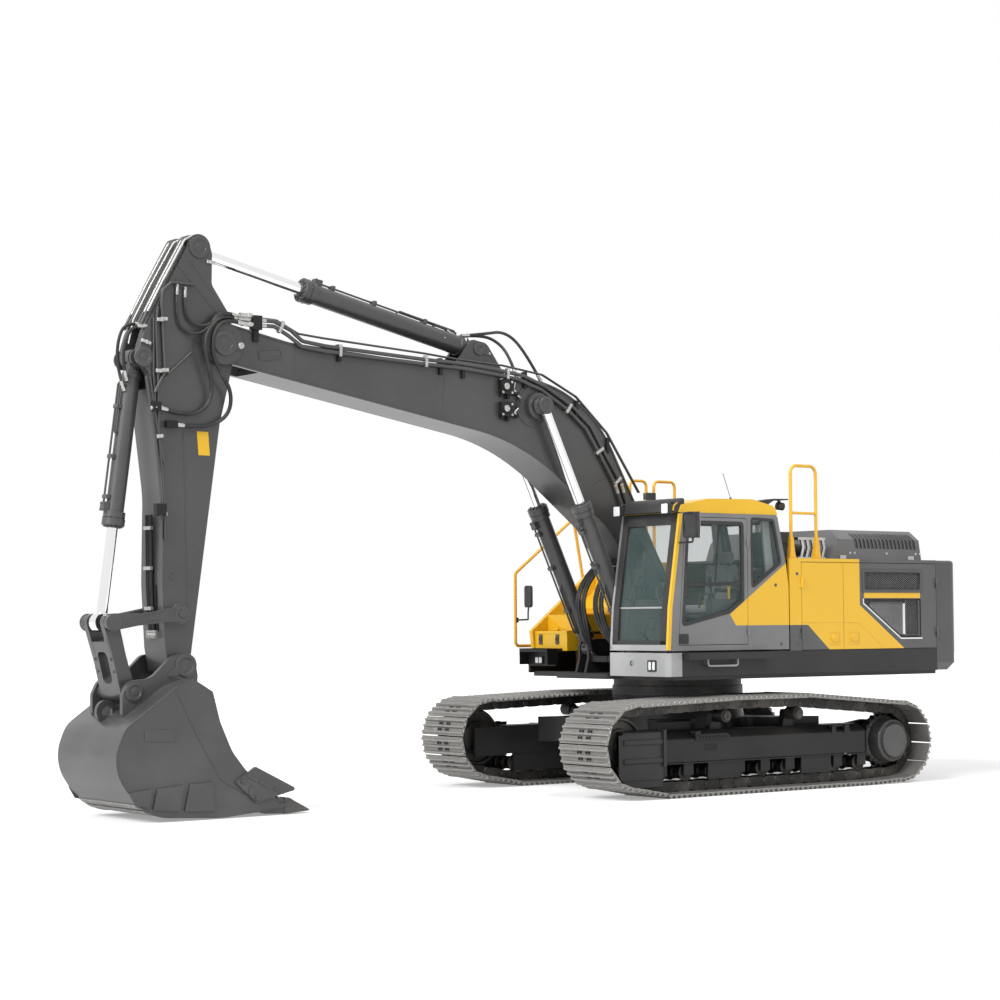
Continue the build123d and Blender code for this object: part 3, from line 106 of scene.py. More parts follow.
class Wire:
    """A value that runs through a finish's nodes."""

    def __init__(self, finish, socket):
        self.finish = finish
        self.socket = socket

    def maths(self, operation, *others):
        return self.finish.node("ShaderNodeMath", {"operation": operation}, dict(enumerate((self, *others))))

    def __add__(self, other):
        return self.maths("ADD", other)

    def __radd__(self, other):
        return self.maths("ADD", other)

    def __sub__(self, other):
        return self.maths("SUBTRACT", other)

    def __rsub__(self, other):
        return self.finish.node("ShaderNodeMath", {"operation": "SUBTRACT"}, {0: other, 1: self})

    def __mul__(self, other):
        return self.maths("MULTIPLY", other)

    def __rmul__(self, other):
        return self.maths("MULTIPLY", other)

    def __gt__(self, other):
        return self.maths("GREATER_THAN", other)

    def least(self, other):
        return self.maths("MINIMUM", other)

    def most(self, other):
        return self.maths("MAXIMUM", other)

    def ramp(self, low, high):
        """0 below low, 1 above high and smooth between."""
        return self.finish.node(
            "ShaderNodeMapRange",
            {"interpolation_type": "SMOOTHSTEP", "clamp": True},
            {"Value": self, "From Min": low, "From Max": high},
        )


class Finish:
    """A material under construction, around one Principled shader."""

    def __init__(self, name, **constants):
        self.material = bpy.data.materials.new(name)
        self.material.use_nodes = True
        self.tree = self.material.node_tree
        self.shader = self.tree.nodes["Principled BSDF"]
        self.feed(**constants)

    def feed(self, **values):
        for key, value in values.items():
            self.plug(self.shader.inputs[key.replace("_", " ")], value)

    def plug(self, socket, value):
        if isinstance(value, Wire):
            self.tree.links.new(value.socket, socket)
        elif isinstance(value, tuple) and len(value) == 3 and socket.type == "RGBA":
            socket.default_value = (*value, 1.0)
        else:
            socket.default_value = value

    def node(self, kind, settings=None, values=None, out=0):
        made = self.tree.nodes.new(kind)
        for key, value in (settings or {}).items():
            setattr(made, key, value)
        for key, value in (values or {}).items():
            self.plug(made.inputs[key], value)
        return Wire(self, made.outputs[out])

    def place(self):
        """The point on the surface, in the machine's metres."""
        return self.node("ShaderNodeTexCoord", out="Object")

    def split(self, vector):
        parts = self.tree.nodes.new("ShaderNodeSeparateXYZ")
        self.plug(parts.inputs[0], vector)
        return [Wire(self, parts.outputs[k]) for k in range(3)]

    def noise(self, scale, detail=3.0, at=None):
        values = {"Vector": at or self.place(), "Scale": scale, "Detail": detail,
            "Roughness": NOISE_ROUGHNESS}
        return self.node("ShaderNodeTexNoise", values=values)

    def mix(self, share, first, second):
        """first where share is 0, second where it is 1, as colours."""
        return self.node("ShaderNodeMix", {"data_type": "RGBA"}, {0: share, 6: first, 7: second}, out=2)

    def facing_up(self):
        return self.split(self.node("ShaderNodeNewGeometry", out="Normal"))[2]

    def soft_edge(self, radius):
        return self.node("ShaderNodeBevel", {"samples": 4}, {"Radius": radius})

    def bumped(self, height, strength, distance, base=None):
        values = {"Height": height, "Strength": strength, "Distance": distance}
        if base is not None:
            values["Normal"] = base
        return self.node("ShaderNodeBump", values=values)


print("wire and finish ready")

# %% [markdown]
# ## Floor and light
# A studio picture has a white ground that the machine stands on with a soft shadow. More light would wash the
# paint out, so the white comes from the floor's own colour: where a camera ray meets the floor, a little
# emission lifts it to white, and the shadow still darkens the rest. The world does the same behind it.

# %% The floor and the lamps
FLOOR_SIZE = 160.0
floor_mesh = bpy.data.meshes.new("floor")
half_floor = FLOOR_SIZE / 2
floor_corners = [(-half_floor, -half_floor, 0), (half_floor, -half_floor, 0), (half_floor, half_floor, 0),
    (-half_floor, half_floor, 0)]
floor_mesh.from_pydata(floor_corners, [], [(0, 1, 2, 3)])
floor = in_scene("floor", floor_mesh)
floor.location.z = -0.001  # a hair under the tracks, so that their faces never share its plane

ground = Finish("studio_floor", Base_Color=(0.8, 0.8, 0.8), Roughness=1.0)
ground.feed(Specular_IOR_Level=0.0)
path = ground.tree.nodes.new("ShaderNodeLightPath")
seen = Wire(ground, path.outputs["Is Camera Ray"])
mirrored_ray = Wire(ground, path.outputs["Is Glossy Ray"])
through = Wire(ground, path.outputs["Is Transmission Ray"])
FLOOR_LIFT = 0.32
lift = (seen + mirrored_ray + through).least(1.0) * FLOOR_LIFT
ground.feed(Emission_Color=(1.0, 1.0, 1.0), Emission_Strength=lift)
floor_mesh.materials.append(ground.material)

world = bpy.data.worlds.new("studio_world")
bpy.context.scene.world = world
world.use_nodes = True
sky = world.node_tree
background = sky.nodes["Background"]
background.inputs["Color"].default_value = (1, 1, 1, 1)
sky_path = sky.nodes.new("ShaderNodeLightPath")


def sky_sum(operation, first, second):
    made = sky.nodes.new("ShaderNodeMath")
    made.operation = operation
    for socket, value in zip(made.inputs, (first, second)):
        if isinstance(value, bpy.types.NodeSocket):
            sky.links.new(value, socket)
        else:
            socket.default_value = value
    return made.outputs[0]


AMBIENT = 0.52
seen_sky = sky_sum("ADD", sky_path.outputs["Is Camera Ray"], sky_path.outputs["Is Glossy Ray"])
seen_sky = sky_sum("MINIMUM", sky_sum("ADD", seen_sky, sky_path.outputs["Is Transmission Ray"]), 1.0)
strength = sky_sum("ADD", sky_sum("MULTIPLY", seen_sky, 1.0 - AMBIENT), AMBIENT)
sky.links.new(strength, background.inputs["Strength"])


def lamp(name, heading, height, power, spread):
    """A distant soft lamp that shines from a heading and a height, in degrees."""
    data = bpy.data.lights.new(name, "SUN")
    data.energy = power
    data.angle = math.radians(spread)
    made = in_scene(name, data)
    a, b = math.radians(heading), math.radians(height)
    toward = Vector((math.cos(a) * math.cos(b), math.sin(a) * math.cos(b), math.sin(b)))
    made.rotation_euler = toward.to_track_quat("Z", "Y").to_euler()
    return made


lamp("key_lamp", heading=80, height=50, power=1.0, spread=25)
lamp("front_lamp", heading=8, height=35, power=3.0, spread=30)
print("stage set")

# %% [markdown]
# ## Paint
# New machine paint is never one flat colour. It has a faint orange-peel ripple, dust that settles on what faces
# up and near the ground, and edges that catch the light because real plate edges are rounded. The CAD edges
# are knife sharp, so a Bevel node rounds them in the shading only, and the solids keep their size.

# %% Painted steel
DUST = (0.3, 0.27, 0.23)
ORANGE_PEEL = 0.06
PLATE_EDGE = 0.006
FINE_EDGE = 0.003


def painted(name, colour, rough=0.38, coat=0.25, dust=0.3, shade=0.18):
    """Machine paint with dust, faint unevenness and rounded edges."""
    made = Finish(name, Coat_Roughness=0.12)
    cloudy = made.noise(1.3, detail=4.0)
    fine = made.noise(38.0, detail=2.0)
    low = made.split(made.place())[2]
    grounded = 1.0 - low.ramp(0.1, 1.5)
    settled = made.facing_up().ramp(0.25, 0.95)
    dusty = (cloudy.ramp(0.35, 0.75) * (settled * 0.55 + grounded * 0.35) + fine.ramp(0.62, 0.8)
        * 0.08) * dust
    darker = tuple(c * (1 - shade) for c in colour)
    lighter = tuple(min(1.0, c * (1 + shade * 0.6)) for c in colour)
    tone = made.mix(cloudy.ramp(0.3, 0.7), darker, lighter)
    made.feed(Base_Color=made.mix(dusty, tone, DUST))
    made.feed(Roughness=rough + cloudy * 0.1 + dusty * 0.45, Coat_Weight=coat - dusty * coat)
    peel = made.noise(160.0, detail=1.0)
    made.feed(Normal=made.bumped(peel, ORANGE_PEEL, 0.002, made.soft_edge(PLATE_EDGE)))
    return made


CHARCOAL = (0.054, 0.0545, 0.0555)
YELLOW = (0.8, 0.465, 0.01)
MID_GREY = (0.17, 0.172, 0.176)

charcoal = painted("charcoal_paint", CHARCOAL)
grey = painted("grey_paint", MID_GREY)
light_grey = painted("light_grey_paint", (0.36, 0.362, 0.365))
yellow = painted("yellow_paint", YELLOW, rough=0.38, coat=0.25, dust=0.08, shade=0.05)
rail_yellow = painted("rail_paint", (0.8, 0.42, 0.012), rough=0.32, coat=0.4, dust=0.1, shade=0.05)
black = painted("black_paint", (0.012, 0.012, 0.0125), rough=0.42, coat=0.1, dust=0.1)
skirt_grey = painted("skirt_grey", (0.027, 0.027, 0.028), coat=0.1, dust=0.15)
for dark in (black, skirt_grey):
    dark.feed(Specular_IOR_Level=0.25)
hood_grey = painted("hood_grey", (0.105, 0.105, 0.107))
print("paints", 8)

# %% [markdown]
# ## Bare and worn metal
# The grousers, teeth and rollers lose their paint where they rub. On the real track only the outer edge of
# each bar is polished, and the rest keeps its dark mill scale. Height above the shoe can't be read by a shader
# here, so the wear is drawn by noise stretched along the bar, and by the rounded edge that a Bevel node finds.

# %% Worn steel, chrome and plastics
def worn_steel(name, colour, bright, amount=0.5, dust=0.35):
    """Dark scale with bright scuffs at the edges and dust in between."""
    made = Finish(name, Metallic=0.6)
    cloudy = made.noise(3.0, detail=5.0)
    streak = made.node("ShaderNodeMapping", values={"Vector": made.place(), "Scale": (14.0, 2.5, 14.0)})
    scuffs = made.noise(4.0, detail=4.0, at=streak)
    rounded = made.soft_edge(PLATE_EDGE)
    flat = made.node("ShaderNodeNewGeometry", out="Normal")
    along_edge = 1.0 - made.node("ShaderNodeVectorMath", {"operation": "DOT_PRODUCT"},
        {0: rounded, 1: flat}, out="Value")
    worn = (along_edge.ramp(0.002, 0.1) * 0.9 + scuffs.ramp(0.55, 0.72) * amount * 0.5).least(1.0)
    dusty = cloudy.ramp(0.42, 0.75) * dust
    tone = made.mix(worn, colour, bright)
    made.feed(Base_Color=made.mix(dusty, tone, DUST), Roughness=0.5 - worn * 0.15 + dusty * 0.4)
    made.feed(Normal=made.bumped(scuffs, 0.12, 0.003, rounded))
    return made


def plain(name, colour, rough=0.5, metallic=0.0, bump=0.05, coat=0.0, dust=0.1):
    """A moulded or machined surface with a fine grain."""
    made = Finish(name, Metallic=metallic, Coat_Weight=coat)
    cloudy = made.noise(4.0)
    dusty = cloudy.ramp(0.45, 0.8) * dust
    made.feed(Base_Color=made.mix(dusty, made.mix(cloudy, tuple(c * 0.85 for c in colour), colour), DUST))
    grain = made.bumped(made.noise(120.0, detail=2.0), bump, 0.001, made.soft_edge(FINE_EDGE))
    made.feed(Roughness=rough + cloudy * 0.08, Normal=grain)
    return made


shoe_steel = worn_steel("shoe_steel", (0.225, 0.22, 0.212), (0.66, 0.65, 0.62), dust=0.35)
wheel_steel = worn_steel("wheel_steel", (0.028, 0.027, 0.026), (0.16, 0.155, 0.15), amount=0.2)
bearing_steel = worn_steel("bearing_steel", (0.045, 0.045, 0.046), (0.2, 0.2, 0.2), amount=0.2)
tooth_steel = worn_steel("tooth_steel", (0.085, 0.083, 0.08), (0.34, 0.33, 0.32), amount=0.8)
engine_iron = plain("engine_iron", (0.13, 0.13, 0.14), rough=0.55, metallic=0.4)
black_plastic = plain("black_plastic", (0.022, 0.022, 0.024), rough=0.55, bump=0.12)
console_plastic = plain("console_plastic", (0.07, 0.07, 0.074), rough=0.6, bump=0.12)
hose_rubber = plain("hose_rubber", (0.016, 0.016, 0.017), rough=0.5, bump=0.05, dust=0.2)
fitting_steel = plain("fitting_steel", (0.52, 0.52, 0.5), rough=0.3, metallic=0.9, dust=0.1)
bolt_steel = plain("bolt_steel", (0.09, 0.09, 0.092), rough=0.4, metallic=0.6, dust=0.2)

chrome = Finish("rod_chrome", Metallic=1.0)
chrome.feed(
    Base_Color=chrome.mix(chrome.noise(2.0), (0.8, 0.8, 0.81), (0.88, 0.88, 0.88)),
    Roughness=chrome.noise(90.0) * 0.08 + 0.06,
)
pipe_chrome = Finish("pipe_chrome", Metallic=1.0)
pipe_chrome.feed(
    Base_Color=pipe_chrome.mix(pipe_chrome.noise(6.0).ramp(0.4, 0.7), (0.45, 0.44, 0.43), (0.62, 0.6, 0.56)),
    Roughness=pipe_chrome.noise(30.0) * 0.2 + 0.15,
)
print("metals and plastics", 12)

# %% [markdown]
# ## Glass
# Cab glass is thin, laminated and slightly green. A thin pane hardly bends light, so its solid is lit best by
# mixing a see-through shader with a gloss one: the Alpha of the Principled shader does that with one number,
# and a Fresnel share makes it glossier at a glancing angle.

# %% Tinted glass
glass = Finish("tinted_glass", Roughness=0.03, IOR=1.5)
glass_haze = glass.noise(1.6, detail=3.0)
glass.feed(
    Base_Color=glass.mix(glass_haze, (0.13, 0.2, 0.195), (0.16, 0.235, 0.225)),
    Alpha=glass_haze * 0.05 + 0.13,
)
mirror = Finish("mirror_glass", Metallic=1.0, Roughness=0.05)
mirror.feed(Base_Color=mirror.mix(mirror.noise(3.0), (0.65, 0.67, 0.7), (0.72, 0.74, 0.76)))
lens = Finish("lamp_lens", Roughness=0.12, IOR=1.45)
lens.feed(Base_Color=lens.mix(lens.noise(60.0), (0.62, 0.63, 0.64), (0.8, 0.81, 0.82)))
print("glass, mirror and lens")

# %% [markdown]
# ## Two-tone panels
# On the left side one stripe of yellow runs over the cab's rear, a fixed strip and two doors, and its border
# runs at a slant across their seams. Painting by position keeps the border in line however the doors are cut:
# each straight border is a half-plane, and the smallest of the half-planes is positive only inside the shape.

# %% Yellow shapes painted by position
def oblong(left, right, low, high):
    """The four corners of a rectangle, counter-clockwise."""
    return [(left, low), (right, low), (right, high), (left, high)]


def inside(made, corners):
    """Positive inside a convex shape in the side view, given counter-clockwise as (x, z)."""
    x, _, z = made.split(made.place())
    shape = None
    for (x1, z1), (x2, z2) in zip(corners, corners[1:] + corners[:1]):
        length = math.hypot(x2 - x1, z2 - z1)
        a, b = -(z2 - z1) / length, (x2 - x1) / length
        reach = x * a + z * b - (a * x1 + b * z1)
        shape = reach if shape is None else shape.least(reach)
    return shape


def two_tone(name, colour, shapes):
    """Charcoal or grey paint with yellow inside the shapes."""
    made = Finish(name, Coat_Roughness=0.12)
    cloudy = made.noise(1.3, detail=4.0)
    settled = made.facing_up().ramp(0.25, 0.95)
    dusty = cloudy.ramp(0.35, 0.75) * settled * 0.15
    area = None
    for corners in shapes:
        one = inside(made, corners)
        area = one if area is None else area.most(one)
    lit = area > 0.0
    tone = made.mix(cloudy.ramp(0.3, 0.7), tuple(c * 0.85 for c in colour), tuple(c * 1.1 for c in colour))
    bright = made.mix(cloudy.ramp(0.3, 0.7), tuple(c * 0.96 for c in YELLOW), YELLOW)
    made.feed(Base_Color=made.mix(dusty, made.mix(lit, tone, bright), DUST))
    made.feed(Roughness=cloudy * 0.1 + 0.34 + dusty * 0.4, Coat_Weight=lit * 0.2 + 0.2)
    made.feed(Normal=made.bumped(made.noise(160.0, detail=1.0), ORANGE_PEEL, 0.002,
        made.soft_edge(PLATE_EDGE)))
    return made


BAND_SHAPES = [
    [(-1.526, 1.855), (0.437, 1.855), (0.525, 1.98), (-0.329, 2.547), (-0.469, 2.64), (-1.526, 2.64)],
    oblong(-1.526, -0.36, 1.855, 2.64),
    [(-2.283, 1.558), (-1.036, 1.558), (-0.68, 1.855), (-0.68, 2.104), (-1.4926, 2.104)],
]
GRILLE_STRIPE = oblong(-2.547, -1.597, 2.162, 2.235)
left_side = two_tone("left_side_paint", (0.075, 0.0755, 0.0765), BAND_SHAPES + [GRILLE_STRIPE])
cab_side = two_tone("cab_side_paint", MID_GREY, BAND_SHAPES[:1])

print("two-tone ready")

# %% [markdown]
# ## Painting the CAD's solids
# Each solid already has one material slot from the record. A table gives each its finish here, and the solid
# itself isn't touched: only what its slot holds changes.

# %% Finishes for the solids
NODE_FINISHES = (
    (charcoal, "counterweight deck_top boom arm bucket guide_links bucket_link"),
    (charcoal, "boom_cylinder_left_barrel boom_cylinder_right_barrel arm_cylinder_barrel"),
    (charcoal, "bucket_cylinder_barrel"),
    (skirt_grey, "main_frame side_skirts"),
    (hood_grey, "engine_hood"),
    (chrome, "boom_cylinder_left_rod boom_cylinder_right_rod arm_cylinder_rod bucket_cylinder_rod"),
    (black, "car_body track_frame_left track_frame_right"),
    (shoe_steel, "track_left track_right"),
    (wheel_steel, "idler_left idler_right sprocket_left sprocket_right rollers_left rollers_right"),
    (bearing_steel, "swing_ring_lower swing_ring_upper"),
    (light_grey, "front_block"),
    (left_side, "left_panels side_door_front side_door_rear"),
    (cab_side, "cab_shell cab_door"),
    (yellow, "right_panels fuel_tank hydraulic_tank tool_box tool_box_lid pump_door cab_roof"),
    (rail_yellow, "handrail_left handrails_right handrails_top"),
    (engine_iron, "engine"),
    (pipe_chrome, "exhaust"),
    (black_plastic, "air_intake work_lamps mirror_left"),
    (console_plastic, "seat consoles"),
    (glass, "cab_glass door_glass"),
    (tooth_steel, "bucket_teeth"),
)
for finish, names in NODE_FINISHES:
    for name in names.split():
        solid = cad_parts[name]
        solid.data.materials.clear()
        solid.data.materials.append(finish.material)
print("solids painted", sum(len(names.split()) for _, names in NODE_FINISHES), "of", len(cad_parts))

# %% [markdown]
# ## Pieces from short tables
# Most parts of a machine are cut plates, turned rounds and bent tube. One class gathers such faces in a bmesh,
# so a piece is a few calls with its corners, and it is finished once: normals out, smooth faces, sharp edges
# kept, a finish and a body to ride on. A mirrored copy gives the other side of the machine.

# %% Plates, rounds and tubes
class Shape:
    """Faces gathered for one piece, in the machine's metres."""

    def __init__(self):
        self.mesh = bmesh.new()

    def point(self, u, v, w, axis):
        return {"X": (w, u, v), "Y": (u, w, v), "Z": (u, v, w)}[axis]

    def ring(self, points):
        return [self.mesh.verts.new(p) for p in points]

    def skin(self, rings, closed=True, capped=True):
        """Faces between rows of points, with both ends closed."""
        for near, far in zip(rings, rings[1:]):
            count = len(near)
            for k in range(count if closed else count - 1):
                self.mesh.faces.new((near[k], near[(k + 1) % count], far[(k + 1) % count], far[k]))
        if capped:
            self.mesh.faces.new(rings[0][::-1])
            self.mesh.faces.new(rings[-1])
        return self

    def through(self, rows, closed=True, capped=True):
        """A skin through rows of places."""
        return self.skin([self.ring(row) for row in rows], closed, capped)

    def plate(self, corners, low, high, axis="Y"):
        """A flat outline as thick as from low to high along its axis."""
        return self.through([[self.point(u, v, w, axis) for u, v in corners] for w in (low, high)])

    def box(self, x, y, z):
        return self.plate(oblong(*x, *y), *z, axis="Z")

    def rim(self, outer, inner, low, high, axis="Y"):
        """A plate with a hole: outer and inner have the same number of corners."""
        loops = [(outer, low), (outer, high), (inner, high), (inner, low), (outer, low)]
        rings = [self.ring(self.point(u, v, w, axis) for u, v in corners) for corners, w in loops[:4]]
        return self.skin(rings + [rings[0]], capped=False)

    def turned(self, centre, axis, profile, sides=24):
        """Profile rows of (distance along the axis, radius) swept round it."""
        along = Vector(axis).normalized()
        across = along.orthogonal().normalized()
        return self.skin([
            self.ring(round_spots(Vector(centre) + along * distance, across, along.cross(across), radius,
                sides))
            for distance, radius in profile
        ])

    def tube(self, points, radius, bend=0.0, sides=10):
        """A stiff tube through points, with its corners bent to one radius."""
        line = bent([Vector(p) for p in points], bend)
        ways = [(b - a).normalized() for a, b in zip(line, line[1:])]
        ways = [ways[0]] + [(a + b).normalized() for a, b in zip(ways, ways[1:])] + [ways[-1]]
        across = ways[0].orthogonal().normalized()
        rings = []
        for middle, way in zip(line, ways):
            across = (across - way * across.dot(way)).normalized()
            rings.append(self.ring(round_spots(middle, across, way.cross(across), radius, sides)))
        return self.skin(rings)

    def bolt(self, centre, axis, size):
        """A hexagon head on its washer."""
        self.turned(centre, axis, [(-0.002, size * 0.8), (size * 0.15, size * 0.8)], sides=12)
        return self.turned(centre, axis, [(0, size * 0.56), (size * 0.6, size * 0.56)], sides=6)

    def bolts(self, centres, axis, size):
        for centre in centres:
            self.bolt(centre, axis, size)
        return self

    def both_sides(self):
        """Adds the same faces on the machine's other side."""
        copy = bmesh.ops.duplicate(self.mesh,
            geom=self.mesh.verts[:] + self.mesh.edges[:] + self.mesh.faces[:])
        for item in copy["geom"]:
            if isinstance(item, bmesh.types.BMVert):
                item.co.y = -item.co.y
        return self

    def moved(self, matrix):
        bmesh.ops.transform(self.mesh, matrix=matrix, verts=self.mesh.verts)
        return self

    def done(self, name, body, finish, slot=None, replaces=(), smooth=32):
        """The piece: one mesh with its finish, on its body. Its slot argument is not used."""
        bmesh.ops.recalc_face_normals(self.mesh, faces=self.mesh.faces)
        data = bpy.data.meshes.new(name)
        self.mesh.to_mesh(data)
        self.mesh.free()
        data.polygons.foreach_set("use_smooth", [True] * len(data.polygons))
        data.set_sharp_from_angle(angle=math.radians(smooth))
        data.materials.append(finish.material)
        piece = in_scene(name, data)
        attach(piece, body)
        if replaces:
            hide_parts(*replaces)
        return piece


def round_spots(middle, across, other, radius, count):
    """Points round a circle that two directions span."""
    angles = [2 * math.pi * k / count for k in range(count)]
    return [middle + (across * math.cos(a) + other * math.sin(a)) * radius for a in angles]


def corner_arc(before, corner, after, radius, share, steps):
    """An arc in a corner's place, which takes at most a share of each side."""
    back, on = (before - corner).normalized(), (after - corner).normalized()
    half = back.angle(on) / 2
    reach = min(radius / math.tan(half), (before - corner).length * share, (after - corner).length * share)
    start, stop = corner + back * reach, corner + on * reach
    shares = [k / steps for k in range(steps + 1)]
    return [start * (1 - t) ** 2 + corner * 2 * t * (1 - t) + stop * t * t for t in shares]


def bent(points, radius):
    """The points with each inner corner swapped for an arc."""
    if radius <= 0:
        return points
    line = [points[0]]
    for before, corner, after in zip(points, points[1:], points[2:]):
        line += corner_arc(before, corner, after, radius, 0.49, 5)
    return line + [points[-1]]


def softened(corners, radius, steps=4):
    """A flat outline with its corners rounded."""
    count = len(corners)
    points = [Vector(c) for c in corners]
    line = []
    for k in range(count):
        arc = corner_arc(points[k - 1], points[k], points[(k + 1) % count], radius, 0.48, steps)
        line += [tuple(point) for point in arc]
    return line


def along_line(line, z):
    """The first coordinate on a bent upright line, at a height."""
    for (x1, z1), (x2, z2) in zip(line, line[1:]):
        if z <= z2:
            return x1 + (x2 - x1) * (z - z1) / (z2 - z1)
    return line[-1][0]


def circle_spots(centre, radius, count, axis="Y", turn=0.0):
    """Centres round a circle across an axis."""
    spots = []
    for k in range(count):
        a = turn + 2 * math.pi * k / count
        u, v = radius * math.cos(a), radius * math.sin(a)
        shift = {"X": (0, u, v), "Y": (u, 0, v), "Z": (u, v, 0)}[axis]
        spots.append(tuple(c + s for c, s in zip(centre, shift)))
    return spots


print("shapes ready")

# %% [markdown]
# ## Tracks
# A crawler's track is a chain of steel links, and each link carries one shoe with three bars that bite into the
# ground. The CAD holds the loop as one solid. Here every shoe is its own closed form, placed by its distance
# along the chain's path, so gaps open between the shoes where the chain turns round a wheel.

# %% The chain's path
PIN_RADIUS, PATH_STEP = 0.362, 0.01
IDLER, SPROCKET = Vector((2.035, 0.565)), Vector((-2.03, 0.49))
LOW_LINE, HIGH_LINE = 0.108, 0.974
LOW_ENDS, HIGH_ENDS = (-1.55, 1.55), (0.55, -0.566)
HALF_GAUGE, SHOE_WIDTH, SHOE_COUNT = 1.295, 0.8, 48


def touching(circle, radius, point, side):
    """Where a line from a point touches a circle."""
    way = Vector(point) - circle
    angle = math.atan2(way.y, way.x) + side * math.acos(radius / way.length)
    return angle, circle + Vector((math.cos(angle), math.sin(angle))) * radius


def chain_path(depth):
    """Points round the chain's path, moved outward by depth, with the distance to each."""
    radius = PIN_RADIUS + depth
    low = [Vector((x, LOW_LINE - depth)) for x in LOW_ENDS]
    high = [Vector((x, HIGH_LINE + depth)) for x in HIGH_ENDS]
    a_in, front_in = touching(IDLER, radius, low[1], 1)
    a_out, front_out = touching(IDLER, radius, high[0], -1)
    b_in, rear_in = touching(SPROCKET, radius, high[1], 1)
    b_out, rear_out = touching(SPROCKET, radius, low[0], -1)
    corners = [low[0], low[1], front_in]
    for centre, start, stop in ((IDLER, a_in, a_out), (SPROCKET, b_in, b_out)):
        while stop < start:
            stop += 2 * math.pi
        if centre is SPROCKET:
            corners += [front_out, high[0], high[1], rear_in]
        count = int((stop - start) * radius / PATH_STEP)
        for k in range(1, count):
            angle = start + (stop - start) * k / count
            corners.append(centre + Vector((math.cos(angle), math.sin(angle))) * radius)
    corners += [rear_out, low[0]]
    reach = [0.0]
    for a, b in zip(corners, corners[1:]):
        reach.append(reach[-1] + (b - a).length)
    return corners, reach


def spot(path, distance):
    """The point at a distance along the path, and the way along it."""
    corners, reach = path
    distance %= reach[-1]
    for k in range(len(reach) - 1):
        if reach[k + 1] > distance:
            break
    way = (corners[k + 1] - corners[k]).normalized()
    return corners[k] + way * (distance - reach[k]), way


shoe_path = chain_path(0.074)
pin_path = chain_path(0.0)
SHOE_PITCH = shoe_path[1][-1] / SHOE_COUNT
LINK_PITCH = pin_path[1][-1] / SHOE_COUNT
print("chain", round(pin_path[1][-1], 3), "m, shoe pitch", round(SHOE_PITCH, 4), "link pitch",
    round(LINK_PITCH, 4))

# %% [markdown]
# ### One shoe
# A shoe's section has three bars, a turned-down rear lip and a raised front lip that the next shoe laps. Four
# bolts hold it to the links. The bars are cut back at both ends, so the section changes over the last few
# centimetres, and the piece is a skin through four copies of it.

# %% Shoes with bars and bolts
def shoe_section(height):
    """(along, out) corners of a shoe's section, from the plate's inner face."""
    half = LINK_PITCH * 0.5
    rows = [(-half + 0.006, 0.0), (half - 0.012, 0.0), (half + 0.004, 0.006), (half + 0.004, 0.014)]
    for bar in (0.32, 0.0, -0.32):
        middle = bar * SHOE_PITCH
        rows += [(middle + 0.02, 0.014), (middle + 0.009, 0.014 + height - 0.004),
            (middle + 0.005, 0.014 + height)]
        rows += [(middle - 0.005, 0.014 + height), (middle - 0.009, 0.014 + height - 0.004),
            (middle - 0.02, 0.014)]
    return rows + [(-half + 0.006, 0.014)]


def on_shoe(place, way, along, out, y):
    outward = Vector((way.y, -way.x))
    at = place + way * along + outward * (out - 0.014)
    return (at.x, y, at.y)


shoes = Shape()
shoe_bolts = Shape()
for k in range(SHOE_COUNT):
    place, way = spot(shoe_path, (k + 0.5) * SHOE_PITCH)
    half_width = SHOE_WIDTH / 2
    rows = [(-half_width, 0.022), (-half_width + 0.035, 0.034), (half_width - 0.035, 0.034),
        (half_width, 0.022)]
    shoes.skin(
        [shoes.ring(on_shoe(place, way, u, v, HALF_GAUGE + y) for u, v in shoe_section(tall))
            for y, tall in rows]
    )
    outward = (way.y, 0, -way.x)
    for along in (-0.16, 0.16):
        for across in (-0.092, -0.048, 0.048, 0.092):
            centre = on_shoe(place, way, along * SHOE_PITCH, 0.013, HALF_GAUGE + across)
            shoe_bolts.turned(centre, outward, [(0, 0.015), (0.012, 0.014)], sides=8)
shoes.both_sides()
shoe_bolts.both_sides()
shoes.done("track_shoes", "undercarriage", shoe_steel, replaces=("track_left", "track_right"), smooth=25)
shoe_bolts.done("shoe_bolts", "undercarriage", black)
print("shoes", 2 * SHOE_COUNT)

# %% [markdown]
# ### The chain
# Under each shoe two forged links run side by side, and a pin joins each pair to the next. A link is high in the
# middle, where the rollers run on its rail, and round at both ends, where its pin shows. The row of them along
# the top of the track is one of the things that make a crawler look like a crawler.

# %% Links and pins
def link_section():
    """(along, out) corners of a link's side, with the rail below and the shoe's seat above."""
    half = LINK_PITCH * 0.5
    end = [(math.cos(math.radians(a)) * 0.04 + half, math.sin(math.radians(a)) * 0.04)
        for a in range(-75, 76, 25)]
    other = [(-u, v) for u, v in end[::-1]]
    return end + [(half * 0.55, 0.058), (-half * 0.55, 0.058)] + other + [(-half * 0.55, -0.049),
        (half * 0.55, -0.049)]


chain = Shape()
pins = Shape()
for k in range(SHOE_COUNT):
    place, way = spot(pin_path, (k + 0.5) * LINK_PITCH)
    outward = Vector((way.y, -way.x))
    step = 0.004 * (k % 2)  # neighbours lap, so every second link stands further out
    for low, high in ((-0.114 - step, -0.078), (0.078, 0.114 + step)):
        spots = [place + way * u + outward * v for u, v in link_section()]
        chain.through([[(p.x, HALF_GAUGE + y, p.y) for p in spots] for y in (low, high)])
    joint, _ = spot(pin_path, k * LINK_PITCH)
    pins.turned((joint.x, HALF_GAUGE - 0.12, joint.y), (0, 1, 0), [(-0.004, 0.018), (0.244, 0.018)], sides=12)
    pins.turned((joint.x, HALF_GAUGE - 0.08, joint.y), (0, 1, 0), [(0, 0.034), (0.16, 0.034)], sides=14)
chain.both_sides().done("track_links", "undercarriage", wheel_steel, smooth=35)
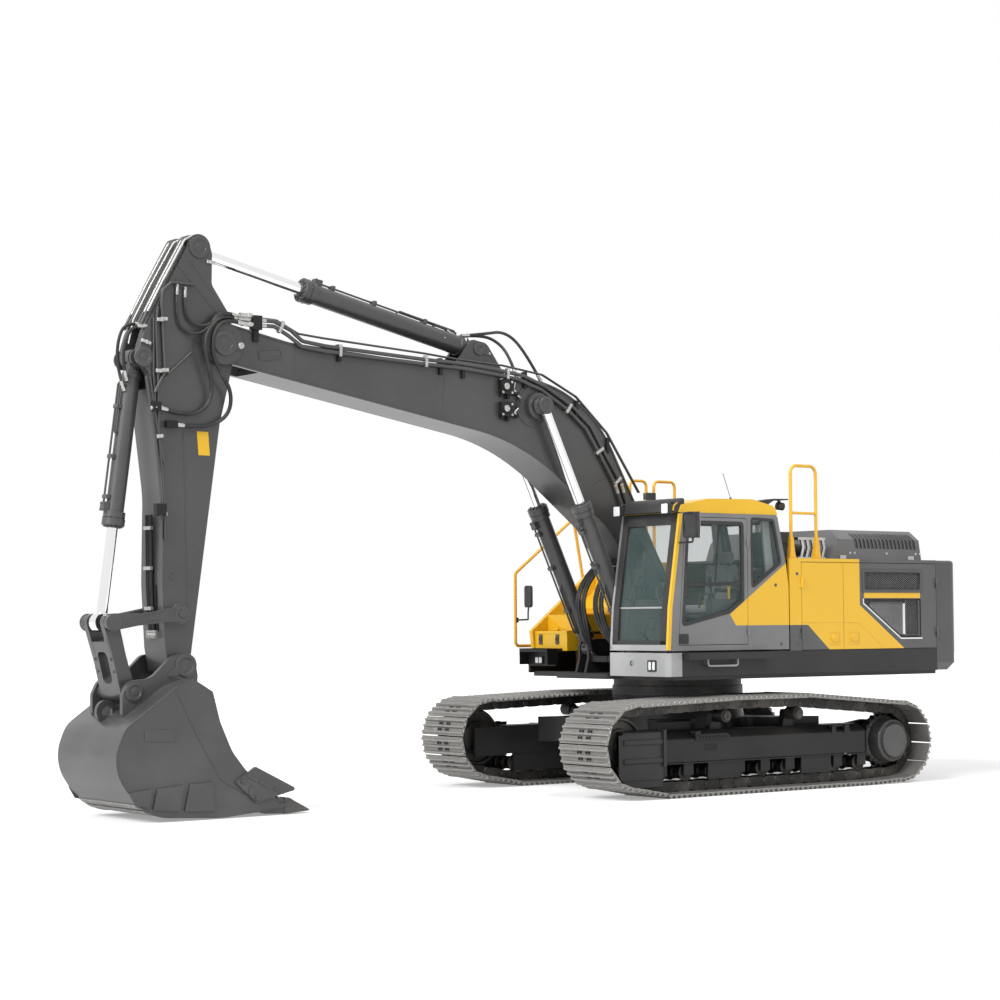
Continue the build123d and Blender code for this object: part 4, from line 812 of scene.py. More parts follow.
pins.both_sides().done("track_pins", "undercarriage", bearing_steel)
print("links", 4 * SHOE_COUNT)

# %% [markdown]
# ## Under the machine
# The CAD gives the rollers, wheels and track frames as plain rounds and a plain beam. What the eye expects is
# in their faces: flanges and hub caps on the rollers, a ring of bolts round the drive's hub, and on the frame
# the ribs, lugs and the slot that a crane's hook or a grease gun needs.

# %% Rollers and their caps
BOTTOM_ROLLERS = [-1.53 + 0.3825 * k for k in range(9)]
rollers = Shape()
caps = Shape()
for x in BOTTOM_ROLLERS:
    z = 0.2563
    rollers.turned((x, HALF_GAUGE, z), (0, 1, 0), [
        (-0.139, 0.085), (-0.132, 0.098), (-0.125, 0.098), (-0.12, 0.08), (-0.03, 0.076), (-0.02, 0.05),
        (0.02, 0.05), (0.03, 0.076), (0.12, 0.08), (0.125, 0.098), (0.132, 0.098), (0.139, 0.085),
    ], sides=28)
    for side in (1, -1):
        caps.turned((x, HALF_GAUGE + side * 0.139, z), (0, side, 0),
            [(-0.01, 0.062), (0.012, 0.062), (0.016, 0.05), (0.02, 0.038)], sides=20)
for x in (-0.566, 0.55):
    z = 0.8511
    rollers.turned((x, HALF_GAUGE, z), (0, 1, 0), [
        (-0.029, 0.05), (-0.02, 0.0715), (0.12, 0.0715), (0.125, 0.068), (0.13, 0.0715), (0.145,
            0.0715), (0.15, 0.06),
    ], sides=28)
    caps.turned((x, HALF_GAUGE + 0.15, z), (0, 1, 0), [(0, 0.056), (0.016, 0.056), (0.019, 0.048),
        (0.0192, 0.018), (0.0196, 0.016)], sides=24)
    caps.bolts(circle_spots((x, HALF_GAUGE + 0.168, z), 0.036, 6), (0, 1, 0), 0.011)
    caps.turned((x, HALF_GAUGE - 0.12, z), (0, 1, 0), [(-0.02, 0.03), (0.1, 0.03)], sides=16)
rollers.both_sides().done("track_rollers", "undercarriage", wheel_steel,
    replaces=("rollers_left", "rollers_right"))
caps.both_sides().done("roller_caps", "undercarriage", wheel_steel)
print("rollers", 4 * len(BOTTOM_ROLLERS))

# %% [markdown]
# The rear wheel drives the chain, and a gearbox as large as a drum turns it. From the side only the drum's cover
# shows, a flat disc inside a ring of some thirty bolts.

# %% Drive hub and idler
hub = Shape()
hub_bolts = Shape()
place = (SPROCKET.x, HALF_GAUGE, SPROCKET.y)
hub.turned(place, (0, 1, 0), [
    (0.045, 0.285), (0.055, 0.275), (0.06, 0.257), (0.12, 0.254), (0.13, 0.248), (0.205, 0.247), (0.2155,
        0.24),
    (0.216, 0.205), (0.221, 0.2), (0.222, 0.198),
], sides=48)
hub.turned(place, (0, 1, 0), [(0.219, 0.2), (0.243, 0.198), (0.2505, 0.188), (0.2515, 0.03)], sides=48)
face_y = HALF_GAUGE + 0.215
hub_bolts.bolts(circle_spots((SPROCKET.x, face_y, SPROCKET.y), 0.22, 32), (0, 1, 0), 0.02)
hub_bolts.bolts(circle_spots((SPROCKET.x, HALF_GAUGE + 0.05, SPROCKET.y), 0.268, 24, turn=0.1), (0, 1, 0),
    0.018)
hub.both_sides().done("drive_hubs", "undercarriage", charcoal)
hub_bolts.both_sides().done("drive_bolts", "undercarriage", wheel_steel)

idlers = Shape()
idlers.turned((IDLER.x, HALF_GAUGE, IDLER.y), (0, 1, 0), [
    (-0.09, 0.12), (-0.088, 0.18), (-0.06, 0.2), (-0.06, 0.27), (-0.088, 0.285), (-0.088, 0.309), (-0.045,
        0.311),
    (-0.04, 0.335), (0.04, 0.335), (0.045, 0.311), (0.088, 0.309), (0.088, 0.285), (0.06, 0.27), (0.06,
        0.2),
    (0.088, 0.18), (0.09, 0.12),
], sides=56)
idlers.turned((IDLER.x, HALF_GAUGE, IDLER.y), (0, 1, 0), [(-0.157, 0.07), (0.157, 0.07)], sides=20)
idlers.both_sides().done("idler_wheels", "undercarriage", wheel_steel,
    replaces=("idler_left", "idler_right"), smooth=40)
print("hub bolts", 2 * 56)

# %% [markdown]
# The frame's front end is a cover over the idler's sliding yoke. It is a separate plate with a thick border at
# its rear and two pressed ribs, and it stands a little proud of the beam. The beam itself has a rolled lower
# flange, lug plates welded to its shoulder and one long hole, whose shade is painted: a rim round a flat
# near-black plate.

# %% Frame covers, ribs and lugs
cover = Shape()
front, rear, outside = 2.155, 1.53, HALF_GAUGE + 0.2
cover.plate(softened([(rear, 0.2), (front - 0.04, 0.2), (front, 0.26), (front, 0.69), (rear, 0.712)], 0.02),
            outside - 0.03, outside + 0.004)
cover.plate(softened(oblong(rear - 0.03, rear + 0.012, 0.335, 0.735), 0.008),
            outside - 0.02, outside + 0.028)
cover.plate([(HALF_GAUGE + 0.06, 0.7), (outside, 0.66), (outside, 0.712), (HALF_GAUGE + 0.05, 0.735)],
    rear - 0.03, front - 0.06, axis="X")
for low in (0.585, 0.385):
    cover.through([
        [(rear + 0.02, y, low - grow), (front - 0.07 + grow, y, low - grow),
            (front - 0.07 + grow, y, low + 0.045 + grow), (rear + 0.02, y, low + 0.045 + grow)]
        for y, grow in ((outside, 0.008), (outside + 0.016, 0.004), (outside + 0.02, -0.002))
    ])
cover.plate([(1.535, 0.12), (1.98, 0.12), (2.1, 0.2), (1.535, 0.2)], outside - 0.035, outside - 0.005)
cover.both_sides().done("frame_covers", "undercarriage", skirt_grey, "black_paint")

lugs = Shape()
lugs.box((-1.6, 1.5), (outside - 0.012, outside + 0.012), (0.352, 0.366))
lugs.box((-1.612, -1.588), (outside - 0.1, outside + 0.01), (0.36, 0.625))
lugs.plate([(0.56, 0.606), (1.065, 0.606), (1.065, 0.64), (0.995, 0.668), (0.6, 0.668), (0.56, 0.64)],
    outside - 0.02, outside + 0.014)
for k in range(9):
    x = 0.6 + 0.05 * k
    lugs.turned((x, outside + 0.012, 0.635), (0, 1, 0), [(0, 0.013), (0.012, 0.013)], sides=6)
for x, wide in ((1.02, 0.05), (-1.07, 0.04), (-1.28, 0.045)):
    lugs.plate([(x - wide, 0.6), (x + wide, 0.6), (x + wide * 0.7, 0.7), (x - wide * 0.7, 0.7)],
        outside - 0.09, outside + 0.006)
lugs.tube([(-1.32, outside - 0.03, 0.69), (-1.02, outside - 0.03, 0.69)], 0.016)
lugs.rim(
    softened(oblong(0.735, 0.925, 0.485, 0.555), 0.034),
    softened(oblong(0.745, 0.915, 0.493, 0.547), 0.027), outside - 0.001, outside + 0.003)
lugs.both_sides().done("frame_lugs", "undercarriage", black)

# The hole's inside is painted shade: a flat near-black plate just proud of the beam's face.
hole_shade_plate = Shape()
hole_shade_plate.plate(softened(oblong(0.745, 0.915, 0.493, 0.547), 0.027), outside - 0.001, outside + 0.0012)
# Near-black paint for painted shade in holes, slots and openings.
painted_shade = plain("shadow_paint", (0.006, 0.006, 0.006), rough=0.8)
hole_shade_plate.both_sides().done("frame_hole_shade", "undercarriage", painted_shade, "black_paint")
print("frame dressed")

# %% [markdown]
# ## The engine side
# Behind the left rear door stand the coolers, and air reaches them through two openings with woven mesh. A mesh
# is only wires, so its wires are built where a family of slanted lines crosses the opening's outline. A dark
# sheet behind them stands for the shade inside.

# %% Mesh in an opening
SIDE = 1.495


def winding(points):
    """1 where an outline runs counter-clockwise, -1 where it runs clockwise."""
    return 1.0 if sum(a.cross(b) for a, b in zip(points, points[1:] + points[:1])) > 0 else -1.0


def crossing(corners, origin, way):
    """Where a slanted line enters and leaves a convex outline, as distances along it."""
    low, high = -1e9, 1e9
    count = len(corners)
    points = [Vector(c) for c in corners]
    sign = winding(points)
    for k in range(count):
        a = points[k]
        edge = points[(k + 1) % count] - a
        normal = Vector((-edge.y, edge.x)) * sign
        speed, gap = normal.dot(way), normal.dot(origin - a)
        if abs(speed) < 1e-9:
            if gap < 0:
                return None
        elif speed > 0:
            low = max(low, -gap / speed)
        else:
            high = min(high, -gap / speed)
    return (low, high) if high > low + 0.004 else None


def lattice(shape, corners, pitch, degrees, y, thick):
    """Wires across an opening in the side view, at one slant."""
    way = Vector((math.cos(math.radians(degrees)), math.sin(math.radians(degrees))))
    across = Vector((-way.y, way.x))
    reaches = [across.dot(Vector(c)) for c in corners]
    place = min(reaches) + pitch
    while place < max(reaches):
        span = crossing(corners, across * place, way)
        if span:
            a, b = across * place + way * span[0], across * place + way * span[1]
            shape.tube([(a.x, y, a.y), (b.x, y, b.y)], thick, sides=4)
        place += pitch


upper_grille = oblong(-2.56, -1.59, 2.245, 2.48)
lower_grille = [(-2.56, 1.7), (-2.215, 1.7), (-1.59, 2.11), (-1.59, 2.155), (-2.56, 2.155)]
pale_mesh = [(-2.255, 1.735), (-2.2, 1.735), (-1.7, 2.065), (-1.7, 2.1), (-2.255, 2.1)]
MESH_PITCH, FINE_PITCH = 0.02, 0.013
mesh = Shape()
for corners, depth, thick in ((upper_grille, 0.016, 0.0026), (lower_grille, 0.02, 0.0024)):
    lattice(mesh, corners, MESH_PITCH, 30, SIDE - depth, thick)
    lattice(mesh, corners, MESH_PITCH, -30, SIDE - depth - 0.002, thick)
mesh.done("grille_mesh", "side_door_rear", grey, "grey_paint")
fine = Shape()
lattice(fine, pale_mesh, FINE_PITCH, 0, SIDE - 0.015, 0.0022)
lattice(fine, pale_mesh, FINE_PITCH, 90, SIDE - 0.0165, 0.0022)
fine.done("grille_fine_mesh", "side_door_rear", light_grey, "grey_paint")
shade = Shape()
for corners in (upper_grille, lower_grille):
    shade.plate(corners, SIDE - 0.0279, SIDE - 0.0268)
shade.done("grille_shade", "side_door_rear", painted_shade, "black_plastic")
print("mesh wires ready")

# %% [markdown]
# Round the lower opening runs a raised white strip, and round both a grey border with a rounded lip. A strip
# that follows a line is a rim between the line and its copy moved inward, here given as two rows.

# %% Borders of the openings
border = Shape()
border.rim(softened(oblong(-2.59, -1.565, 2.225, 2.505), 0.03),
           softened(oblong(-2.545, -1.605, 2.262, 2.465), 0.02), SIDE - 0.012, SIDE + 0.006)
border.plate(oblong(-2.5, -2.265, 1.72, 1.735), SIDE - 0.025, SIDE - 0.006)
for x in (-2.3, -2.527):
    border.plate(oblong(x - 0.013, x + 0.013, 1.71, 2.14), SIDE - 0.025, SIDE - 0.004)
border.plate(oblong(-1.7, -2.265, 2.1, 2.115), SIDE - 0.025, SIDE - 0.006)
border.done("grille_border", "side_door_rear", charcoal)
strip_white = painted("trim_white", (0.8, 0.8, 0.79), rough=0.35, dust=0.1, shade=0.04)
outline = Shape()
outer = [(-1.578, 2.155), (-1.578, 2.094), (-2.208, 1.678), (-2.575, 1.678)]
inner = [(-1.592, 2.155), (-1.592, 2.104), (-2.212, 1.694), (-2.575, 1.694)]
outline.through([[(x, y, z) for x, z in row] for row, y in ((outer, SIDE - 0.002), (outer, SIDE + 0.004),
    (inner, SIDE + 0.004), (inner, SIDE - 0.002))], closed=False, capped=False)
outline.plate(oblong(-2.262, -2.285, 1.735, 2.1), SIDE - 0.024, SIDE - 0.002)
outline.done("grille_trim", "side_door_rear", strip_white, "light_grey_paint")
print("borders ready")

# %% [markdown]
# ### The hood's slots
# Sixteen slots let hot air out over the engine. They run over the bend between the hood's side and its sloped
# top, so each is a strip of five rows that follow the same section as the solid, a hair above its face, with
# a pressed lip along its front edge. The slots aren't cut: each is a near-black strip of painted shade.

# %% Slots, lip and hood bolts
HOOD_SECTION = [(1.3, 2.6163), (1.26, 2.86), (1.11, 2.972)]
SLOT_COUNT, SLOT_PITCH, SLOT_LEAN, STRIP_DEPTH = 16, 0.0655, 0.09, 0.01


def hood_strip(shape, x, width, low, high, raised):
    """A strip that follows the hood over its bend, raised above its face."""
    rows = []
    for z in (low, (low + 2.86) / 2, 2.855, 2.862, high):
        shift = SLOT_LEAN * (z - low)
        rows.append([(x + shift - width / 2, z), (x + shift + width / 2, z)])
    rings = []
    for (a, z), (b, _) in rows:
        y = along_line(HOOD_SECTION, z)
        out = raised if z < 2.86 else raised * 1.2
        lift = 0.0 if z < 2.857 else raised * 0.7
        rings.append(shape.ring([(a, y + out, z + lift), (b, y + out, z + lift), (b, y - STRIP_DEPTH, z),
            (a, y - STRIP_DEPTH, z)]))
    shape.skin(rings)


# Near-black strips of painted shade stand for the slots' openings.
slots = Shape()
lips = Shape()
for k in range(SLOT_COUNT):
    x = -1.72 - SLOT_PITCH * k
    hood_strip(slots, x, width=0.03, low=2.752, high=2.925, raised=0.0012)
    hood_strip(lips, x + 0.019, width=0.008, low=2.748, high=2.93, raised=0.0065)
slots.done("hood_slot_shade", "engine_hood", painted_shade, "black_plastic")
lips.done("hood_lips", "engine_hood", charcoal)
hood_bolts = Shape()
for x in (-1.592, -1.667, -2.207, -2.709, -2.78):
    hood_bolts.turned((x, along_line(HOOD_SECTION, 2.695), 2.695), (0, 1, 0.16),
        [(-0.002, 0.016), (0.002, 0.015), (0.003, 0.008)], sides=14)
for x in (-1.45, -2.6):
    hood_bolts.box((x - 0.05, x + 0.05), (along_line(HOOD_SECTION, 2.64) - 0.01,
        along_line(HOOD_SECTION, 2.64) + 0.016), (2.62, 2.665))
hood_bolts.done("hood_bolts", "engine_hood", fitting_steel)
hood_seam = Shape()
hood_seam.tube([(-1.345, -0.93, 2.625), (-1.345, 1.29, 2.625)], 0.012)
hood_seam.done("hood_seal", "upper_structure", black_plastic)
print("slots", SLOT_COUNT)

# %% [markdown]
# ### Latches, locks and pressed shapes
# Service doors close with latches in pressed recesses, and a key lock sits above each. The yellow doors have one
# long pressed ridge that follows the band's slanted border.

# %% Door furniture
for x0, x1, body in ((-1.191, -1.025, "side_door_front"), (-1.51, -1.341, "side_door_rear")):
    recess = Shape()
    recess.rim(softened(oblong(x0, x1, 1.625, 1.775), 0.018),
               softened(oblong(x0 + 0.008, x1 - 0.008, 1.633, 1.767), 0.014), SIDE - 0.003, SIDE + 0.003)
    recess.plate(softened([(x0 + 0.03, 1.66), (x1 - 0.05, 1.66), (x1 - 0.03, 1.7), (x1 - 0.05, 1.74),
        (x0 + 0.03, 1.74)], 0.012), SIDE - 0.003, SIDE + 0.01)
    recess.turned(((x0 + x1) / 2 + 0.01, SIDE + 0.01, 1.7), (0, 1, 0),
        [(-0.002, 0.014), (0.003, 0.014), (0.004, 0.008)], sides=16)
    recess.done("latch_" + body, body, left_side)
for body, path in (
    ("side_door_front", [(-0.601, 1.887), (-1.252, 1.884)]), ("side_door_rear",
        [(-1.264, 1.884), (-1.5, 1.882), (-1.915, 1.58)]),
):
    ridge = Shape()
    ridge.tube([(x, SIDE - 0.004, z) for x, z in path], 0.009, bend=0.04, sides=12)
    ridge.done("ridge_" + body, body, left_side)
locks = Shape()
for x, z in ((-0.178, 2.308), (-0.516, 2.439), (-0.257, 1.642), (-0.53, 1.642)):
    locks.turned((x, SIDE, z), (0, 1, 0), [(-0.002, 0.019), (0.004, 0.018), (0.005, 0.011),
        (0.0055, 0.003)], sides=18)
    locks.box((x - 0.0015, x + 0.0015), (SIDE + 0.003, SIDE + 0.0062), (z - 0.007, z + 0.007))
locks.done("panel_locks", "upper_structure", bolt_steel)
print("latches and locks")

# %% [markdown]
# ### On the deck
# Between the cab and the hood stand the air cleaner, the exhaust and its slotted guard, and a ladder's rail with
# splayed feet. From the ground only their upper halves show over the deck's edge.

# %% Air cleaner, exhaust and guard
DECK = 2.617
cleaner = Shape()
cleaner.plate(softened(oblong(-0.76, -0.47, 0.75, 1.15), 0.06), DECK, 2.93, axis="Z")
cleaner.plate(softened(oblong(-0.775, -0.455, 0.735, 1.165), 0.065), 2.8, 2.825, axis="Z")
cleaner.turned((-0.615, 0.95, 2.92), (0, 0, 1), [(0, 0.11), (0.03, 0.112), (0.04, 0.1), (0.085, 0.1),
    (0.09, 0.09)], sides=32)
for centre in circle_spots((-0.615, 0.95, 2.96), 0.102, 12, "Z"):
    cleaner.turned(centre, (0, 0, 1), [(0, 0.007), (0.045, 0.007)], sides=6)
cleaner.tube([(-0.77, 0.95, 2.74), (-0.95, 0.95, 2.76), (-1.1, 0.72, 2.76), (-1.3, 0.72, 2.74)], 0.07,
    bend=0.12, sides=20)
cleaner.done("air_cleaner", "upper_structure", black_plastic, replaces=("air_intake",))
stack = Shape()
stack.turned((-1.0, 0.35, DECK), (0, 0, 1), [(0, 0.108), (0.3, 0.11), (0.315, 0.1), (0.33, 0.064),
    (0.33, 0.062), (0.45, 0.06), (0.459, 0.064), (0.459, 0.055), (0.34, 0.053)], sides=32)
for centre in circle_spots((-1.0, 0.35, 2.66), 0.1095, 10, "Z"):
    stack.turned(centre, (0, 0, 1), [(0, 0.01), (0.2, 0.01)], sides=8)
stack.done("exhaust_stack", "upper_structure", pipe_chrome, replaces=("exhaust",))
guard = Shape()
for k in range(5):
    x = -0.83 - 0.085 * k
    guard.plate([(x, DECK), (x - 0.035, DECK), (x - 0.075, 2.75), (x - 0.05, 2.86), (x - 0.015, 2.86),
        (x - 0.04, 2.75)], 1.205, 1.225)
guard.plate(oblong(-0.8, -1.24, 2.84, 2.87), 1.1, 1.228)
guard.plate(oblong(-0.8, -1.24, DECK, 2.64), 1.19, 1.228)
guard.done("exhaust_guard", "upper_structure", pipe_chrome)
feet = Shape()
for x in (-0.488, -0.888):
    feet.through([[(x - w, 1.435 - d, z), (x + w, 1.435 - d, z), (x + w, 1.435 + d, z), (x - w, 1.435 + d, z)]
               for z, w, d in ((DECK, 0.048, 0.03), (2.72, 0.032, 0.026), (2.86, 0.021, 0.021))])
feet.tube([(-0.488, 1.435, 3.136), (-0.888, 1.435, 3.136)], 0.0165, sides=14)
for x in (-0.488, -0.888):
    feet.box((x - 0.055, x + 0.055), (1.395, 1.475), (2.6165, 2.626))
feet.done("rail_feet", "upper_structure", rail_yellow)
print("deck pieces ready")

# %% [markdown]
# ### The counterweight and seams
# The counterweight is one casting. On real machines it has two lifting eyes on top, a seam along the body and
# small steps in its face. The rear lamps and the camera's housing are small boxes with lenses.

# %% Counterweight furniture
TAIL_RADIUS = 3.5
tail = Shape()
for y in (-0.55, 0.55):
    tail.turned((-3.1, y, 2.616), (0, 0, 1), [(-0.01, 0.075), (0.006, 0.075), (0.01, 0.066)], sides=24)
    tail.tube([(-3.145, y, 2.6), (-3.145, y, 2.66), (-3.055, y, 2.66), (-3.055, y, 2.6)], 0.014, bend=0.035,
        sides=12)
tail.plate(softened(oblong(-0.32, 0.32, 1.5, 1.62), 0.02), -3.497, -3.49, axis="X")
tail.done("tail_eyes", "upper_structure", charcoal)
tail_lens = Shape()
red_lens = plain("red_lens", (0.35, 0.012, 0.01), rough=0.2, coat=0.6, bump=0.02)
for side_y in (-0.95, 0.95):
    x = -math.sqrt(TAIL_RADIUS ** 2 - side_y ** 2)
    tail_lens.plate(softened(oblong(side_y - 0.09, side_y + 0.09, 1.8, 1.87), 0.012), x - 0.012, x + 0.04,
        axis="X")
tail_lens.done("tail_lamps", "upper_structure", red_lens, "black_plastic")
print("tail ready")

# %% [markdown]
# ## The cab's windows
# A bonded pane has a black border printed on it, which hides the glue, and a rubber lip round its edge. Both
# are rims that follow the opening. The windscreen leans back above a bend, so its rims are strips whose front
# face follows that bent line.

# %% Borders round the panes
FRONT_LINE = [(1.44, 1.58), (1.408, 2.06), (1.245, 3.1)]
REAR_LINE = [(-0.38, 2.3), (-0.34, 2.56), (-0.215, 3.1)]
CAB_RIGHT = 0.503


def front_strip(shape, y, z, out, back, line=FRONT_LINE, ahead=1):
    """A prism whose outer face follows the bent line."""
    heights = [z[0]] + [h for _, h in line[1:-1] if z[0] < h < z[1]] + [z[1]]
    shape.through([
        [
            (along_line(line, h) + ahead * out, y[0], h), (along_line(line, h) + ahead * out, y[1], h),
            (along_line(line, h) - ahead * back, y[1], h), (along_line(line, h) - ahead * back, y[0], h),
        ] for h in heights
    ])


def grown(corners, amount):
    """A convex outline with every side moved outward."""
    count = len(corners)
    points = [Vector(c) for c in corners]
    sign = winding(points)
    lines = []
    for k in range(count):
        way = (points[(k + 1) % count] - points[k]).normalized()
        outward = Vector((way.y, -way.x)) * sign
        lines.append((points[k] + outward * amount, way))
    moved = []
    for k in range(count):
        (a, u), (b, v) = lines[k - 1], lines[k]
        t = (b - a).cross(v) / u.cross(v)
        moved.append(tuple(a + u * t))
    return moved


def window_lip(shape, corners, low, high, outer=0.026, inner=0.012):
    """A rubber rim round a pane, from outer outside its outline to inner inside it."""
    radius = 0.03
    outside = softened(grown(corners, outer), radius + outer)
    inside_line = softened(grown(corners, -inner), max(0.006, radius - inner))
    shape.rim(outside, inside_line, low, high)


door_window = [(0.33, 2.14), (0.54, 2.01), (1.215, 1.87), (1.13, 2.99), (0.33, 2.99)]
quarter_window = [(0.18, 2.28), (0.18, 3.05), (-0.15, 3.04), (-0.255, 2.56)]
boom_window = [(-0.23, 2.15), (1.29, 2.15), (1.175, 3.02), (-0.15, 3.02)]
lips = Shape()
window_lip(lips, quarter_window, SIDE - 0.024, SIDE + 0.003, outer=0.018)
window_lip(lips, boom_window, CAB_RIGHT - 0.003, CAB_RIGHT + 0.024)
for y in ((0.545, 0.634), (1.364, 1.452)):
    front_strip(lips, y, (1.652, 3.085), 0.004, 0.03)
front_strip(lips, (0.545, 1.452), (2.965, 3.098), 0.0045, 0.03)
front_strip(lips, (0.56, 1.44), (1.65, 1.69), 0.004, 0.03)
for y in ((0.595, 0.632), (1.366, 1.403)):
    front_strip(lips, y, (2.33, 3.04), 0.003, 0.028, REAR_LINE, -1.0)
for z in ((2.33, 2.37), (3.0, 3.04)):
    front_strip(lips, (0.595, 1.403), z, 0.003, 0.028, REAR_LINE, -1.0)
lips.done("window_lips", "upper_structure", black_plastic)
door_lip = Shape()
window_lip(door_lip, door_window, SIDE - 0.022, SIDE + 0.003, outer=0.024, inner=0.016)
door_lip.plate([(0.33, 2.305), (1.185, 2.285), (1.185, 2.325), (0.33, 2.345)], SIDE - 0.021, SIDE - 0.01)
door_lip.plate([(0.72, 2.32), (0.737, 2.32), (0.662, 2.985), (0.645, 2.985)], SIDE - 0.021, SIDE - 0.014)
door_lip.plate(softened(oblong(1.145, 1.282, 1.656, 1.766), 0.012), SIDE - 0.004, SIDE + 0.005)
door_lip.plate(softened(oblong(1.165, 1.255, 1.69, 1.735), 0.012), SIDE + 0.002, SIDE + 0.016)
door_lip.done("door_lips", "cab_door", black_plastic)
print("window borders")

# %% [markdown]
# ### Posts, visor and lamps
# The front-left post carries a yellow strip from roof to floor. The rim of the roof over the windscreen is a
# black visor with a white lamp at each end. A pale bar crosses the windscreen where its lower pane begins.

# %% Strips, visor, lamp lenses
strip = Shape()
front_strip(strip, (1.462, 1.4965), (1.59, 3.085), 0.006, 0.01)
strip.through([[(along_line(FRONT_LINE, z) + 0.006, y, z), (along_line(FRONT_LINE, z) - 0.034, y, z)]
            for y, z in ((1.4985, 1.59), (1.4985, 2.06), (1.4985, 3.085))], closed=False, capped=False)
strip.done("post_strip", "upper_structure", yellow)
sill = Shape()
front_strip(sill, (0.508, 1.458), (1.584, 1.648), 0.005, 0.01)
front_strip(sill, (0.508, 0.541), (1.6, 2.3), 0.005, 0.01)
front_strip(sill, (0.634, 1.364), (2.046, 2.066), -0.019, 0.027)
sill.done("screen_sill", "upper_structure", light_grey)
visor = Shape()
hood_line = [(1.16, 3.262), (1.24, 3.236), (1.325, 3.17), (1.341, 3.108), (1.325, 3.104), (1.25, 3.104),
    (1.16, 3.15)]
rows = []
for y, share in ((0.53, 0.86), (0.56, 1.0), (0.995, 1.0), (1.43, 1.0), (1.466, 0.86)):
    rows.append(visor.ring([(1.16 + (x - 1.16) * share, y, 3.1 + (z - 3.1) * (0.5 + share / 2))
        for x, z in hood_line]))
visor.skin(rows)
for y in (0.593, 1.41):
    visor.tube([(1.2, y, 3.2), (1.32, y, 3.215), (1.345, y, 3.16)], 0.014, bend=0.03)
visor.done("roof_visor", "upper_structure", black_plastic, smooth=50)
lenses = Shape()
for y in (0.593, 1.41):
    square = softened(oblong(y - 0.05, y + 0.05, 3.09, 3.19), 0.015)
    lenses.through([[(x, u, v) for u, v in grown(square, g)] for x, g in ((1.345, 0.004), (1.4, 0.005),
        (1.4045, 0.0), (1.4065, -0.006))])
lenses.done("work_lamp_lenses", "upper_structure", lens)
roof_bits = Shape()
roof_bits.plate([(-0.05, 3.262), (-0.3, 3.296), (-0.525, 3.3), (-0.525, 3.286), (-0.3, 3.276),
    (-0.2, 3.225)], 1.22, 1.36)
roof_bits.turned((-0.455, 1.3, 3.215), (-1, 0.2, -0.1), [(-0.05, 0.035), (-0.045, 0.045), (0.035, 0.045),
    (0.04, 0.038), (0.041, 0.02)], sides=24)
roof_bits.tube([(-0.45, 1.3, 3.25), (-0.42, 1.3, 3.29)], 0.016)
roof_bits.turned((0.034, 1.0, 3.27), (0.2, 0, 1), [(-0.01, 0.022), (0.02, 0.02), (0.05, 0.008)], sides=16)
roof_bits.tube([(0.042, 1.0, 3.31), (0.155, 1.0, 3.594)], 0.0034, sides=8)
roof_bits.box((-0.874, -0.726), (-1.435, -1.365), (3.42, 3.51))
for x in (-0.87, -0.744):
    roof_bits.turned((x, -1.4, 3.435), (0, 0, 1), [(0, 0.027), (0.06, 0.027)], sides=14)
roof_bits.done("roof_fittings", "upper_structure", black_plastic)
roof_pipes = Shape()
roof_pipes.tube([(1.05, 0.6, 3.245), (0.4, 0.6, 3.276), (0.1, 0.62, 3.274)], 0.01, bend=0.1)
roof_pipes.done("roof_wire", "upper_structure", hose_rubber)
print("posts, visor and roof")

# %% [markdown]
# ### Step, block and mirror
# A driver climbs in over the track, a step on the sill and a looped handle under it. The pale block before the
# cab has a lamp let into it and a hook. The mirror's glass faces the driver, so it is on the rear of its head.

# %% Handle loop, block lamp, mirror glass
loop = Shape()
loop.tube([(0.461, 1.49, 1.528), (0.461, 1.545, 1.524), (0.461, 1.545, 1.412), (0.905, 1.545, 1.412),
    (0.905, 1.545, 1.524), (0.905, 1.49, 1.528)], 0.0115, bend=0.035)
for x in (0.461, 0.905):
    loop.box((x - 0.022, x + 0.022), (1.494, 1.552), (1.524, 1.534))
loop.done("step_handle", "upper_structure", light_grey)
block_lamp = Shape()
block_lamp.plate(softened(oblong(1.148, 1.3, 1.353, 1.482), 0.02), 1.436, 1.446, axis="X")
block_lamp.tube([(1.438, 0.884, 1.468), (1.462, 0.884, 1.462), (1.462, 0.884, 1.425), (1.442, 0.884, 1.42)],
    0.006, bend=0.012)
block_lamp.done("block_lamp", "upper_structure", black_plastic)
block_lens = Shape()
for low, high in ((1.172, 1.212), (1.236, 1.276)):
    block_lens.plate(softened(oblong(low, high, 1.372, 1.463), 0.016), 1.44, 1.4495, axis="X")
block_lens.done("block_lens", "upper_structure", lens)
glass_face = Shape()
glass_face.plate(softened(oblong(1.64, 1.8, 2.824, 3.08), 0.03), 1.2265, 1.2305, axis="X")
glass_face.done("mirror_glass", "upper_structure", mirror, "black_plastic")
sheen = Shape()
sheen.rim(softened(oblong(1.612, 1.805, 2.81, 3.094), 0.045),
          softened(oblong(1.624, 1.793, 2.822, 3.082), 0.035), 1.3, 1.316, axis="X")
sheen.done("mirror_rim", "upper_structure", black_plastic)
print("step, block and mirror")

# %% [markdown]
# ### Inside the cab
# Through the glass one sees the seat, two consoles with joysticks, the monitor, pedals and levers. A seat's
# cushion is cut foam under cloth: its middle is crowned, its sides roll up as bolsters, and its ends pull in.
# Here each cushion is a skin through copies of its side outline, shrunk toward the ends.

# %% Seat
seat_cloth = Finish("seat_fabric", Roughness=0.95, Sheen_Weight=0.3)
weave = seat_cloth.noise(420.0, detail=2.0)
seat_cloth.feed(
    Base_Color=seat_cloth.mix(seat_cloth.noise(9.0).ramp(0.3, 0.7), (0.16, 0.165, 0.165),
        (0.22, 0.225, 0.22)),
    Normal=seat_cloth.bumped(weave, 0.4, 0.001),
)


SEAT_MIDDLE = 1.0


